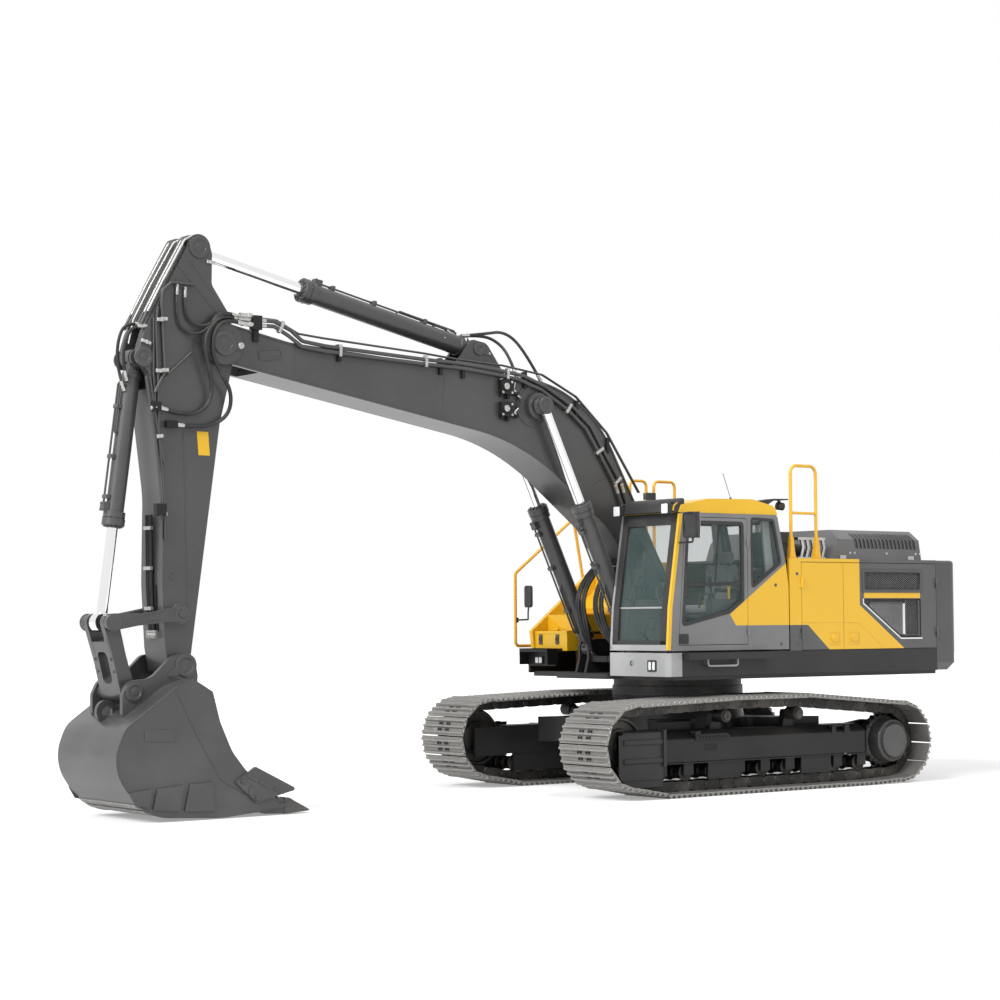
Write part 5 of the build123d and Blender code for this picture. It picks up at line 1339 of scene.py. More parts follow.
def cushion(name, outline, half, crown=0.014):
    """A crowned cushion from its side outline in x and z."""
    shape = Shape()
    corners = softened(outline, 0.035, steps=3)
    cx = sum(x for x, _ in corners) / len(corners)
    cz = sum(z for _, z in corners) / len(corners)
    rows = []
    half_shares = (0.2, 0.45, 0.66, 0.7, 0.74, 0.86, 0.94, 0.985, 1.0)
    for share in (*(-s for s in reversed(half_shares)), 0.0, *half_shares):
        end = abs(share)
        pull = 0.7 if end == 1.0 else 1.0 - 0.16 * max(0.0, (end - 0.84) / 0.15) ** 2
        seam = 0.01 if abs(end - 0.7) < 0.01 else 0.0
        middle_puff = crown * math.cos(end / 0.7 * math.pi / 2)
        bolster_puff = crown * 1.2 * math.sin((end - 0.7) / 0.3 * math.pi)
        puff = middle_puff if end < 0.7 else bolster_puff
        ring = []
        for x, z in corners:
            away = Vector((x - cx, z - cz))
            reach = away.length
            ring.append(away.normalized() * (reach * pull + puff - seam))
        rows.append(shape.ring([(cx + v.x, SEAT_MIDDLE + half * share, cz + v.y) for v in ring]))
    shape.skin(rows)
    made = shape.done(name, "upper_structure", seat_cloth, "seat_fabric", smooth=70)
    return made


pan = cushion("seat_cushion", [(0.2, 1.99), (0.6, 2.0), (0.615, 2.06), (0.58, 2.085), (0.2, 2.065)],
    half=0.235)
cushion("seat_back", [(0.2, 2.06), (0.285, 2.075), (0.225, 2.53), (0.14, 2.53), (0.11, 2.3)], half=0.225)
cushion("seat_headrest", [(0.125, 2.565), (0.205, 2.565), (0.19, 2.685), (0.12, 2.685)], half=0.14,
    crown=0.008)
frame_parts = Shape()
frame_parts.plate(softened([(0.12, 1.93), (0.6, 1.94), (0.6, 1.99), (0.1, 1.985)], 0.02), 0.8, 1.2)
frame_parts.plate(softened([(0.07, 2.1), (0.13, 2.1), (0.125, 2.52), (0.085, 2.52)], 0.02), 0.8, 1.2)
for y in (0.94, 1.06):
    frame_parts.tube([(0.14, y, 2.5), (0.15, y, 2.6)], 0.008)
for k in range(6):
    z = 1.69 + 0.04 * k
    frame_parts.through([[(a, 0.82 + g, h), (b, 0.82 + g, h), (b, 1.18 - g, h), (a, 1.18 - g, h)]
        for h, g, a, b in ((z, 0.02, 0.19, 0.51), (z + 0.018, 0.0, 0.17, 0.53),
        (z + 0.036, 0.02, 0.19, 0.51))])
for y in (0.755, 1.205):
    frame_parts.plate(softened([(0.16, 2.22), (0.5, 2.235), (0.5, 2.275), (0.16, 2.26)], 0.015), y, y + 0.04)
    frame_parts.tube([(0.13, y + 0.02, 2.16), (0.17, y + 0.02, 2.24)], 0.014)
frame_parts.done("seat_frame", "upper_structure", black_plastic)
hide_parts("seat")
print("seat ready")

# %% [markdown]
# Small controls are turned and bent rounds. Their shapes read through two panes of glass only as silhouettes,
# so each gets its stalk, its boot and its grip, and no more.

# %% Controls
controls = Shape()
for y, z in ((0.655, 2.18), (1.345, 2.15)):
    controls.turned((0.66, y, z), (0.1, 0, 1), [(0, 0.045), (0.02, 0.04), (0.03, 0.043), (0.05, 0.032),
        (0.06, 0.034), (0.08, 0.014), (0.13, 0.012)], sides=20)
    controls.turned((0.673, y, z + 0.12), (0.2, 0, 1), [(0, 0.014), (0.02, 0.022), (0.07, 0.024),
        (0.11, 0.028), (0.135, 0.024), (0.14, 0.01)], sides=16)
for side, top in ((0.97, 0.83), (1.07, 1.26)):
    controls.tube([(1.1, side, 1.66), (1.06, side, 2.02), (1.02, top, 2.22)], 0.009, bend=0.06)
    controls.turned((1.022, top, 2.2), (-0.15, (top - side) * 1.6, 1),
        [(0, 0.012), (0.03, 0.018), (0.08, 0.018), (0.095, 0.01)], sides=14)
    controls.plate(softened(oblong(side - 0.05, side + 0.04, 1.7, 1.83), 0.03), 1.13, 1.15, axis="X")
for y, z in ((0.74, 1.8), (0.9, 1.86)):
    controls.turned((1.16, y, z), (1, 0, 0.3), [(0, 0.055), (0.012, 0.058), (0.014, 0.045)], sides=20)
    controls.tube([(1.16, y, z), (1.05, y, z - 0.16)], 0.014)
controls.plate(softened([(0.58, 2.3), (0.8, 2.32), (0.8, 2.5), (0.58, 2.48)], 0.02), 1.16, 1.195, axis="X")
controls.tube([(1.17, 0.6, 2.05), (1.17, 0.64, 2.32)], 0.016)
controls.tube([(1.2, 1.4, 1.66), (1.16, 1.42, 2.2), (1.06, 1.42, 3.0)], 0.018, bend=0.1)
controls.tube([(1.36, 0.7, 1.72), (1.342, 0.72, 2.1), (1.27, 0.82, 2.5)], 0.007)
controls.tube([(1.255, 0.74, 2.62), (1.245, 0.9, 2.2)], 0.006)
controls.done("cab_controls", "upper_structure", black_plastic)
pale = Shape()
pale.tube([(1.285, 0.9, 2.7), (1.255, 0.9, 2.7), (1.29, 0.9, 2.4), (1.33, 0.9, 2.4)], 0.009, bend=0.03)
pale.tube([(0.86, 1.36, 2.05), (0.86, 1.36, 2.2), (0.6, 1.36, 2.22)], 0.012, bend=0.04)
pale.done("cab_handles", "upper_structure", black_plastic)
lever = Shape()
lever.tube([(0.415, 1.36, 2.03), (0.415, 1.36, 2.29)], 0.016)
lever.done("safety_lever", "upper_structure", yellow)
lining = Shape()
lining.plate([(-0.3, 1.64), (-0.3, 2.3), (-0.24, 2.33), (-0.2, 2.33), (-0.2, 1.64)], 0.6, 1.4)
lining.plate([(-0.18, 3.03), (1.2, 3.03), (1.18, 3.075), (-0.16, 3.085)], 0.58, 1.43)
for low, high in ((0.572, 0.6), (1.4, 1.428)):
    lining.plate([(-0.24, 2.32), (-0.12, 2.32), (-0.04, 3.04), (-0.14, 3.04)], low, high)
lining.done("cab_lining", "upper_structure", light_grey)
print("controls and lining")

# %% [markdown]
# ## Hoses and pipes
# Oil runs in steel pipes where nothing bends and in rubber hoses across every joint. A hose is stiff and hangs
# in one smooth curve between its two end fittings, which a NURBS line with few points draws well. A hose that
# stays on one body can be the curve itself. One that crosses a joint has to bend with it; here its curve is
# turned into a mesh that stays where it is, and only the sleeves at its ends ride on the two bodies.

# %% Helpers for hoses
def smooth_line(name, points):
    """A NURBS curve near the points, from the first to the last."""
    curve = bpy.data.curves.new(name, "CURVE")
    curve.dimensions = "3D"
    curve.resolution_u = 5
    spline = curve.splines.new("NURBS")
    spline.points.add(len(points) - 1)
    for control, place in zip(spline.points, points):
        control.co = (*place, 1.0)
    spline.order_u = 3
    spline.use_endpoint_u = True
    return curve


def line_places(curve):
    """Points along a curve, without its thickness."""
    holder = bpy.data.objects.new(curve.name, curve)
    line = bpy.data.meshes.new_from_object(holder)
    places = [v.co.copy() for v in line.vertices]
    bpy.data.objects.remove(holder)
    bpy.data.meshes.remove(line)
    return places


sleeves = {}


def sleeve(place, way, radius, body):
    """A crimped sleeve and a hexagon nut on a hose's end; way points along the hose."""
    shape = sleeves.setdefault(body, Shape())
    shape.turned(place, way, [(-0.02, radius * 0.9), (-0.02, radius * 1.35), (0.014, radius * 1.35),
        (0.014, radius)], sides=6)
    shape.turned(place, way, [(0.012, radius * 1.12), (0.02, radius * 1.22), (0.075, radius * 1.22),
        (0.085, radius * 1.08)], sides=14)


def hose(name, points, radius, bodies):
    """A free hose between two fittings, on one body or from one body to the next."""
    curve = smooth_line(name, points)
    places = line_places(curve)
    length = sum((b - a).length for a, b in zip(places, places[1:]))
    if isinstance(bodies, str):
        curve.bevel_depth = radius
        curve.bevel_resolution = 3
        curve.use_fill_caps = True
        curve.materials.append(hose_rubber.material)
        piece = in_scene(name, curve)
        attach(piece, bodies)
        near = far = bodies
    else:
        near, far = bodies
        shape = Shape()
        shape.tube(places, radius, sides=12)
        bmesh.ops.recalc_face_normals(shape.mesh, faces=shape.mesh.faces)
        data = bpy.data.meshes.new(name)
        shape.mesh.to_mesh(data)
        shape.mesh.free()
        data.polygons.foreach_set("use_smooth", [True] * len(data.polygons))
        data.materials.append(hose_rubber.material)
        piece = in_scene(name, data)
        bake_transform(piece)
    sleeve(points[0], places[1] - places[0], radius, near)
    sleeve(points[-1], places[-2] - places[-1], radius, far)
    return length


def clamp(shape, place, axis, wide, tall, deep):
    """A pale clamp block with two bolts over one or two pipes."""
    u = Vector(axis).normalized()
    across = Vector((-u.z, 0, u.x))
    rows = []
    for out, share in ((-deep, 1.0), (0.004, 1.0), (0.01, 0.86)):
        rows.append(shape.ring([
            Vector(place) + u * (a * wide * share) + across * (b * tall * share) + Vector((0, out, 0))
            for a, b in oblong(-0.5, 0.5, -0.5, 0.5)]))
    shape.skin(rows)
    shape.bolts([Vector(place) + across * (b * tall * 0.3) + Vector((0, 0.01, 0)) for b in (-1, 1)],
        (0, 1, 0), 0.014)


print("hose helpers")

# %% [markdown]
# ### Along the boom
# Two thick pipes and two thin ones feed the arm's and the bucket's cylinders. They follow the boom's back on
# brackets a little off the plate, held by bright clamps, and end in hoses at both of its joints.

# %% Pipes on the boom
LOWER = [(5.93, 4.945), (5.7, 4.95), (5.53, 4.865), (5.37, 4.765), (5.08, 4.735), (3.879, 4.684),
    (3.322, 4.665), (2.904, 4.629), (2.555, 4.59), (2.241, 4.492), (1.863, 4.288), (1.601, 4.085),
    (1.43, 3.846), (1.19, 3.487), (1.075, 3.216)]
UPPER = [(5.93, 5.0), (5.7, 5.002), (5.5, 4.925), (5.36, 4.822), (5.08, 4.79), (3.879, 4.733),
    (3.322, 4.716), (2.87, 4.682), (2.48, 4.634), (2.18, 4.532), (1.802, 4.335), (1.519, 4.113),
    (1.345, 3.849), (1.095, 3.5), (0.991, 3.219)]
TWIN = [(5.93, 5.03), (5.66, 5.02), (5.4, 4.9), (5.1, 4.875), (3.809, 4.8), (3.381, 4.765), (2.751, 4.735),
    (2.2, 4.665), (1.721, 4.446), (1.273, 4.055), (0.8, 3.385)]
boom_pipes = Shape()
for line, y, radius in ((LOWER, 0.305, 0.021), (UPPER, 0.3, 0.021)):
    boom_pipes.tube([(x, y, z) for x, z in line], radius, bend=0.1, sides=12)
for y in (0.285, 0.262):
    boom_pipes.tube([(x, y, z) for x, z in TWIN], 0.0095, bend=0.08, sides=10)
boom_pipes.done("boom_pipes", "boom", charcoal)
far_pipes = Shape()
for line, y, radius in ((LOWER, -0.305, 0.021), (UPPER, -0.3, 0.021)):
    far_pipes.tube([(x, y, z) for x, z in line[3:]], radius, bend=0.1, sides=12)
far_pipes.done("boom_pipes_far", "boom", charcoal)
boom_clamps = Shape()
for x, z, lean in ((3.806, 4.712, 0.03), (2.707, 4.64, 0.1), (1.85, 4.305, 0.62), (1.405, 3.845, 1.0),
        (1.145, 3.51, 0.85), (4.9, 4.755, 0.04), (5.62, 4.95, 0.45)):
    way = Vector((math.cos(lean), 0, math.sin(lean)))
    clamp(boom_clamps, (x, 0.318, z), way, wide=0.035, tall=0.125, deep=0.045)
boom_clamps.done("boom_clamps", "boom", fitting_steel)
brackets = Shape()
for x, z in ((4.9, 4.8), (3.6, 4.74), (3.3, 4.72), (2.45, 4.66), (1.72, 4.38), (1.27, 3.98)):
    brackets.box((x - 0.02, x + 0.02), (0.24, 0.3), (z - 0.16, z + 0.02))
brackets.box((5.86, 5.96), (0.245, 0.335), (4.9, 5.045))
brackets.box((5.88, 5.94), (0.245, 0.3), (4.78, 4.92))
brackets.done("pipe_brackets", "boom", black)
bright = Shape()
for line, y in ((LOWER, 0.305), (UPPER, 0.3)):
    for k in (0, 13):
        (x1, z1), (x2, z2) = line[k], line[k + 1]
        way = Vector((x2 - x1, 0, z2 - z1)).normalized()
        bright.turned((x1, y, z1), way, [(0.02, 0.0245), (0.05, 0.0245), (0.055, 0.022), (0.13, 0.022)],
            sides=14)
for x, y, z in ((5.99, 0.305, 4.95), (6.01, 0.277, 5.0), (6.0, 0.29, 5.04), (6.0, 0.272, 5.03)):
    bright.turned((x - 0.04, y, z), (1, 0, 0), [(0, 0.028), (0.05, 0.028), (0.055, 0.024), (0.14, 0.024)],
        sides=14)
bright.done("pipe_nuts", "boom", fitting_steel)
print("boom pipes")

# %% [markdown]
# ### Boom plates
# Each side of the boom carries pressed and welded marks: seams where plates meet, a ring round the cylinder's
# pin, a keeper plate that stops the arm's pin from turning, and two rupture valves with their ports.

# %% Seams, keepers and valves
seams = Shape()
for side in (-1, 1):
    y = side * 0.2695
    for a, b in (((5.43, 4.79), (5.44, 4.46)), ((3.537, 4.6), (3.577, 4.13)), ((1.55, 3.42), (1.16, 3.62))):
        seams.tube([(a[0], y, a[1]), (b[0], y, b[1])], 0.0045, sides=8)
seams.done("boom_seams", "boom", charcoal)
marks = Shape()
for side in (-1, 1):
    low, high = (0.268, 0.277) if side > 0 else (-0.277, -0.268)
    marks.rim(softened([(5.58, 4.625), (5.87, 4.585), (5.87, 4.715), (5.58, 4.74)], 0.05),
        softened([(5.6, 4.642), (5.852, 4.607), (5.852, 4.698), (5.6, 4.722)], 0.035), low, high)
    marks.turned((2.335, side * 0.27, 4.31), (0, side, 0), [(-0.01, 0.235), (0.01, 0.232), (0.012, 0.215),
        (0.004, 0.205), (0.003, 0.15)], sides=48)
    face = side * 0.32
    marks.turned((6.29, face, 4.735), (0, side, 0), [(-0.01, 0.125), (0.014, 0.125), (0.02, 0.115),
        (0.02, 0.08), (0.013, 0.074), (0.013, 0.04), (0.018, 0.034), (0.018, 0.01)], sides=40)
    marks.plate(softened([(6.36, 4.66), (6.36, 4.81), (6.12, 4.775), (6.05, 4.745), (6.05, 4.7),
        (6.12, 4.675)], 0.03), *sorted((face - side * 0.005, face + side * 0.012)))
    marks.turned((2.99, side * 0.154, 4.915), (0, side, 0), [(-0.01, 0.07), (0.014, 0.07), (0.018, 0.06),
        (0.018, 0.035), (0.012, 0.03)], sides=28)
    marks.plate(softened([(2.93, 4.86), (3.04, 4.86), (3.04, 4.97), (2.83, 4.9), (2.8, 4.87), (2.83, 4.84)],
        0.02), *sorted((side * 0.15, side * 0.162)))
    marks.turned((2.28, side * 0.455, 4.305), (0, side, 0), [(-0.02, 0.098), (0.002, 0.098), (0.008, 0.09),
        (0.008, 0.062), (0.002, 0.056), (0.002, 0.03), (0.006, 0.026)], sides=36)
marks.done("boom_marks", "boom", charcoal)
keeper_bolts = Shape()
for side in (-1, 1):
    keeper_bolts.turned((6.105, side * 0.332, 4.722), (0, side, 0),
        [(-0.002, 0.034), (0.004, 0.034), (0.008, 0.03)], sides=24)
    keeper_bolts.bolt((6.105, side * 0.338, 4.722), (0, side, 0), 0.022)
    keeper_bolts.bolt((2.845, side * 0.16, 4.871), (0, side, 0), 0.018)
keeper_bolts.done("keeper_bolts", "boom", fitting_steel)
valves = Shape()
valve_ports = Shape()
for z in (4.5, 4.255):
    valves.plate(softened(oblong(2.64, 2.81, z - 0.085, z + 0.075), 0.012), 0.268, 0.335)
    valves.turned((2.752, 0.33, z), (0, 1, 0), [(0, 0.05), (0.02, 0.05), (0.024, 0.045)], sides=24)
    valves.turned((2.665, 0.3, z - 0.05), (-1, 0, -0.3), [(0, 0.026), (0.09, 0.026), (0.1, 0.02)], sides=16)
    valves.turned((2.7, 0.3, z - 0.08), (0.1, 0, -1), [(0, 0.024), (0.05, 0.024), (0.055, 0.018)], sides=6)
    valves.turned((2.78, 0.3, z - 0.08), (0, 0, -1), [(0, 0.02), (0.04, 0.02)], sides=6)
    valve_ports.turned((2.752, 0.353, z), (0, 1, 0), [(0, 0.036), (0.006, 0.036), (0.009, 0.031),
        (0.009, 0.014)], sides=24)
    valve_ports.bolts([(2.665, 0.334, z + 0.05), (2.79, 0.334, z - 0.065), (2.665, 0.334, z - 0.065)],
        (0, 1, 0), 0.018)
    valve_ports.turned((2.655, 0.31, z - 0.02), (-0.9, 0, -0.5),
        [(0, 0.016), (0.06, 0.016), (0.065, 0.012)], sides=12)
valves.done("rupture_valves", "boom", black)
valve_ports.done("valve_ports", "boom", fitting_steel)
print("boom marks")

# %% [markdown]
# ### Hoses at the boom's two ends
# At the nose four hoses arch from the boom's pipes to the arm. At the bend two hoses arch from the pipes to the
# long cylinder that swings the arm, and a short loop joins the cylinder's two ports.

# %% Hoses that cross the joints
lengths = [
    hose("arm_hose_outer", [(6.8, 0.245, 3.892), (6.62, 0.26, 3.885), (6.39, 0.262, 3.9),
        (6.21, 0.28, 4.03), (6.21, 0.32, 4.25), (6.36, 0.348, 4.44), (6.45, 0.35, 4.62),
        (6.43, 0.348, 4.86), (6.27, 0.33, 4.985), (6.06, 0.31, 4.95)], 0.02, ("arm", "boom")),
    hose("arm_hose_inner", [(6.98, 0.243, 4.055), (6.76, 0.246, 4.0), (6.53, 0.25, 4.02),
        (6.41, 0.28, 4.18), (6.46, 0.335, 4.42), (6.54, 0.346, 4.66), (6.5, 0.346, 4.86), (6.3, 0.29, 5.03),
        (6.08, 0.26, 5.0)], 0.02, ("arm", "boom")),
    hose("arm_hose_thin_a", [(6.7, 0.244, 5.26), (6.72, 0.246, 5.02), (6.6, 0.25, 4.9), (6.47, 0.335, 4.9),
        (6.3, 0.275, 5.06), (6.1, 0.285, 5.03)], 0.013, ("arm", "boom")),
    hose("arm_hose_thin_b", [(6.79, 0.244, 5.28), (6.82, 0.246, 4.93), (6.66, 0.25, 4.8),
        (6.5, 0.335, 4.84), (6.32, 0.27, 5.1), (6.1, 0.262, 5.03)], 0.013, ("arm", "boom")),
    hose("arm_cylinder_hose_a", [(3.13, 0.05, 5.062), (2.85, 0.06, 5.1), (2.57, 0.08, 5.15),
        (2.34, 0.13, 4.95), (2.15, 0.19, 4.6)], 0.017, ("arm_cylinder_barrel", "boom")),
    hose("arm_cylinder_hose_b", [(3.1, -0.01, 5.065), (2.88, 0.0, 5.09), (2.68, 0.04, 5.05),
        (2.55, 0.13, 4.88), (2.5, 0.19, 4.64)], 0.017, ("arm_cylinder_barrel", "boom")),
]
for name, points, radius in (
    ("valve_hose_a", [(2.6, 0.295, 4.44), (2.52, 0.305, 4.38), (2.55, 0.305, 4.28), (2.62, 0.295, 4.21)],
        0.01),
    ("valve_hose_b", [(2.78, 0.288, 4.585), (2.73, 0.3, 4.61), (2.66, 0.3, 4.6), (2.6, 0.3, 4.54),
        (2.62, 0.295, 4.47)], 0.009),
):
    lengths.append(hose(name, points, radius, "boom"))
lengths.append(hose("arm_cylinder_loop", [(3.26, 0.03, 5.07), (3.36, 0.03, 5.13), (3.52, 0.03, 5.16),
    (3.55, 0.06, 5.09), (3.42, 0.09, 5.02)], 0.013, "arm_cylinder_barrel"))
print("hoses", len(lengths), "metres", round(sum(lengths), 1))

# %% [markdown]
# ### Along the arm
# The bucket cylinder's two pipes and a thin return line come down the arm's side. More hoses hug its front edge
# from the top pin to the bucket cylinder's base, where bright bends show against the paint.

# %% Pipes on the arm
arm_pipes = Shape()
for points, radius in (
    ([(6.86, 0.244, 5.315), (6.955, 0.244, 5.23), (6.966, 0.244, 5.1), (6.95, 0.244, 4.85),
        (6.925, 0.244, 4.42), (7.04, 0.244, 4.2)], 0.017),
    ([(7.005, 0.24, 5.06), (7.027, 0.24, 4.9), (7.012, 0.24, 4.5), (7.0, 0.24, 4.3), (6.99, 0.24, 3.8),
        (6.93, 0.24, 3.5)], 0.013),
    ([(6.6, 0.244, 5.315), (6.86, 0.244, 5.318)], 0.016),
    ([(7.052, 0.238, 4.96), (7.052, 0.238, 4.4), (7.03, 0.238, 4.1)], 0.01),
):
    arm_pipes.tube(points, radius, bend=0.05, sides=12)
for y in (-0.17, -0.1, 0.1, 0.165):
    arm_pipes.tube([(6.565, y, 5.81), (6.66, y, 5.8), (6.905, y, 5.355), (7.165, y, 4.86)], 0.018,
        bend=0.08, sides=12)
arm_pipes.tube([(7.13, 0.232, 4.36), (7.02, 0.236, 3.7), (6.965, 0.236, 3.15), (6.955, 0.236, 2.75)], 0.014,
    bend=0.1, sides=12)
arm_pipes.tube([(7.09, 0.232, 4.36), (6.98, 0.236, 3.7), (6.925, 0.236, 3.15), (6.915, 0.236, 2.75)], 0.014,
    bend=0.1, sides=12)
arm_pipes.done("arm_pipes", "arm", charcoal)
arm_bright = Shape()
for y in (-0.14, 0.135, 0.2):
    arm_bright.tube([(6.6, y, 5.812), (6.685, y, 5.765), (6.93, y, 5.33), (7.1, y, 5.01)], 0.013, bend=0.06,
        sides=12)
arm_bright.tube([(6.64, 0.0, 5.79), (6.7, 0.0, 5.76), (6.95, 0.0, 5.32), (7.15, 0.0, 4.94),
    (7.2, 0.0, 4.7)], 0.012, bend=0.06)
for x, z, way in ((6.945, 4.94, (0.06, 0, 1)), (6.93, 4.43, (0.06, 0, 1)), (6.99, 3.77, (0.14, 0, 1)),
        (6.945, 3.0, (0.02, 0, 1)), (7.06, 4.05, (0.16, 0, 1)), (6.99, 4.93, (0.0, 0, 1)),
        (7.0, 4.42, (0.0, 0, 1))):
    clamp(arm_bright, (x, 0.262, z), way, wide=0.04, tall=0.075, deep=0.045)
clamp(arm_bright, (6.4, 0.231, 5.56), (1, 0, 0.08), wide=0.1, tall=0.035, deep=0.012)
clamp(arm_bright, (7.13, 0.24, 4.7), (1, 0, 0.3), wide=0.11, tall=0.035, deep=0.022)
arm_bright.done("arm_clamps", "arm", fitting_steel)
arm_marks = Shape()
arm_marks.tube([(7.05, 0.231, 4.2), (6.84, 0.231, 4.44), (6.62, 0.231, 4.63)], 0.01, bend=0.02)
for side in (-1, 1):
    face = side * 0.22
    arm_marks.turned((6.53, face, 5.705), (0, side, 0), [(-0.01, 0.115), (0.012, 0.115), (0.016, 0.106),
        (0.016, 0.075), (0.01, 0.07), (0.01, 0.036), (0.015, 0.03)], sides=36)
    arm_marks.turned((7.15, face, 4.555), (0, side, 0), [(-0.01, 0.1), (0.012, 0.1), (0.016, 0.092),
        (0.016, 0.06), (0.01, 0.056), (0.01, 0.032), (0.015, 0.028)], sides=36)
    arm_marks.turned((6.745, face, 2.012), (0, side, 0), [(-0.01, 0.105), (0.008, 0.105), (0.012, 0.098)],
        sides=36)
    for a, b in (((6.71, 3.9), (6.66, 1.95)), ((6.78, 5.5), (6.3, 5.02)), ((6.64, 5.55), (6.36, 5.23))):
        arm_marks.tube([(a[0], face, a[1]), (b[0], face, b[1])], 0.0045, sides=8)
arm_marks.bolts([(6.83, 0.219, 2.42), (6.87, 0.219, 2.38), (6.83, 0.219, 2.36)], (0, 1, 0), 0.016)
arm_marks.done("arm_marks", "arm", charcoal)
plate_yellow = Shape()
plate_yellow.plate(softened([(6.405, 3.6), (6.535, 3.6), (6.555, 3.84), (6.425, 3.84)], 0.008), 0.219, 0.2225)
plate_yellow.done("blank_plate", "arm", yellow)
block = Shape()
block.box((6.93, 7.04), (0.218, 0.29), (2.98, 3.1))
block.plate(softened(oblong(6.8, 6.92, 3.86, 3.93), 0.01), 0.219, 0.285)
block.plate(softened(oblong(6.98, 7.08, 4.02, 4.11), 0.01), 0.219, 0.275)
block.done("arm_blocks", "arm", black)
for name, points, radius in (
    ("bucket_hose_a", [(7.13, 0.2, 4.86), (7.26, 0.2, 4.86), (7.33, 0.18, 4.72), (7.34, 0.13, 4.52),
        (7.275, 0.09, 4.34)], 0.016),
    ("bucket_hose_b", [(7.122, 0.14, 4.882), (7.31, 0.14, 4.9), (7.39, 0.12, 4.7), (7.37, 0.08, 4.44),
        (7.283, 0.05, 4.24)], 0.016),
):
    lengths.append(hose(name, points, radius, ("arm", "bucket_cylinder_barrel")))
print("arm pipes")

# %% [markdown]
# ## The right front corner
# Before the boom's foot, on the machine's right, stand the tool box with its latches, a grating step, a lamp, a
# mirror on the rail and the yellow treads that lead up to the deck.

# %% Tool box, step, treads and mirror
latch = Shape()
for y in (-1.32, -1.0):
    latch.plate(softened(oblong(y - 0.03, y + 0.03, 1.64, 1.755), 0.01), 0.999, 1.012, axis="X")
    latch.tube([(1.01, y - 0.016, 1.74), (1.024, y - 0.016, 1.69), (1.024, y + 0.016, 1.69),
        (1.01, y + 0.016, 1.74)], 0.005, bend=0.008)
latch.done("tool_box_latches", "upper_structure", bolt_steel)
grate = Shape()
for k in range(9):
    y = -1.44 + 0.065 * k
    grate.box((0.99, 1.235), (y, y + 0.01), (1.548, 1.592))
for x in (0.995, 1.11, 1.22):
    grate.box((x, x + 0.012), (-1.445, -0.91), (1.55, 1.586))
grate.plate(softened(oblong(-1.46, -0.93, 1.385, 1.545), 0.015), 1.075, 1.09, axis="X")
grate.box((1.06, 1.225), (-1.456, -1.446), (1.4, 1.59))
grate.box((1.06, 1.225), (-0.925, -0.915), (1.4, 1.59))
grate.done("front_grating", "upper_structure", black)
front_lamp = Shape()
front_lamp.plate(softened(oblong(-1.3, -1.16, 1.405, 1.5), 0.015), 1.088, 1.108, axis="X")
front_lamp.done("front_lamp_box", "upper_structure", black_plastic)
front_lens = Shape()
for y in (-1.265, -1.195):
    front_lens.plate(softened(oblong(y - 0.026, y + 0.026, 1.42, 1.485), 0.012), 1.106, 1.113, axis="X")
front_lens.done("front_lamp_lens", "upper_structure", lens)
right_mirror = Shape()
head = softened(oblong(-1.63, -1.49, 2.08, 2.345), 0.035)
right_mirror.through([[(x, y, z) for y, z in grown(head, g)]
    for x, g in ((0.985, -0.006), (0.992, 0.0), (1.012, 0.0), (1.02, -0.012))])
right_mirror.tube([(1.02, -1.545, 1.935), (1.02, -1.545, 2.02), (1.002, -1.555, 2.1)], 0.01, bend=0.03)
right_mirror.tube([(1.02, -1.545, 1.935), (1.19, -1.552, 1.93)], 0.01)
right_mirror.turned((1.19, -1.555, 1.9), (0, 0, 1), [(0, 0.027), (0.06, 0.027)], sides=14)
right_mirror.done("mirror_right", "upper_structure", black_plastic)
treads = Shape()
for x, z in ((0.62, 1.995), (0.3, 2.185), (0.0, 2.38)):
    for k in range(4):
        treads.box((x + 0.02 + 0.05 * k, x + 0.035 + 0.05 * k), (-1.38, -0.72), (z - 0.175, z - 0.165))
treads.done("stair_bars", "upper_structure", yellow)
rail_feet = Shape()
for x, z in ((0.15, 2.38), (0.96, 1.62)):
    rail_feet.turned((x, -1.497, z), (0, -1, 0), [(0, 0.042), (0.008, 0.042), (0.012, 0.03)], sides=20)
    rail_feet.bolts(circle_spots((x, -1.505, z), 0.033, 3), (0, -1, 0), 0.012)
for x in (-0.48, -0.744, -0.87, -1.215):
    rail_feet.turned((x, -1.4, DECK), (0, 0, 1), [(0, 0.045), (0.006, 0.045), (0.01, 0.028), (0.05, 0.023)],
        sides=20)
rail_feet.done("rail_feet_right", "upper_structure", rail_yellow)
print("right corner")

# %% [markdown]
# ### Hoses at the boom's foot
# Oil for everything on the boom comes up from the body in two groups of hoses. They leave fittings near the
# frame, bulge forward and go up to two blocks on the boom's belly, with slack for the boom's whole travel.

# %% Two groups of hoses
foot_block = Shape()
pump_block = Shape()
for y in (-0.16, 0.16):
    foot_block.through([[(x, y + s, z) for x, z in ((0.955, 2.545), (1.035, 2.49), (1.095, 2.575),
        (1.015, 2.63))] for s in (-0.11, 0.11)])
    pump_block.box((0.985, 1.065), (y - 0.155, y + 0.155), (1.44, 1.51))
foot_block.done("boom_foot_blocks", "boom", black)
pump_block.done("pump_hose_blocks", "upper_structure", black)
for k, y in enumerate((-0.235, -0.185, -0.135, -0.085, 0.085, 0.135, 0.185, 0.235)):
    end = math.copysign(0.274 + 0.01 * (k % 4), y)
    lengths.append(hose(f"foot_hose_{k}", [(1.005, y, 2.575), (1.2, y, 2.44),
        (1.34 + 0.012 * (k % 2), y, 2.16), (1.29, y, 1.88), (1.16, y * 0.6 + end * 0.4, 1.66),
        (1.02, end, 1.5)], 0.017, ("boom", "upper_structure")))
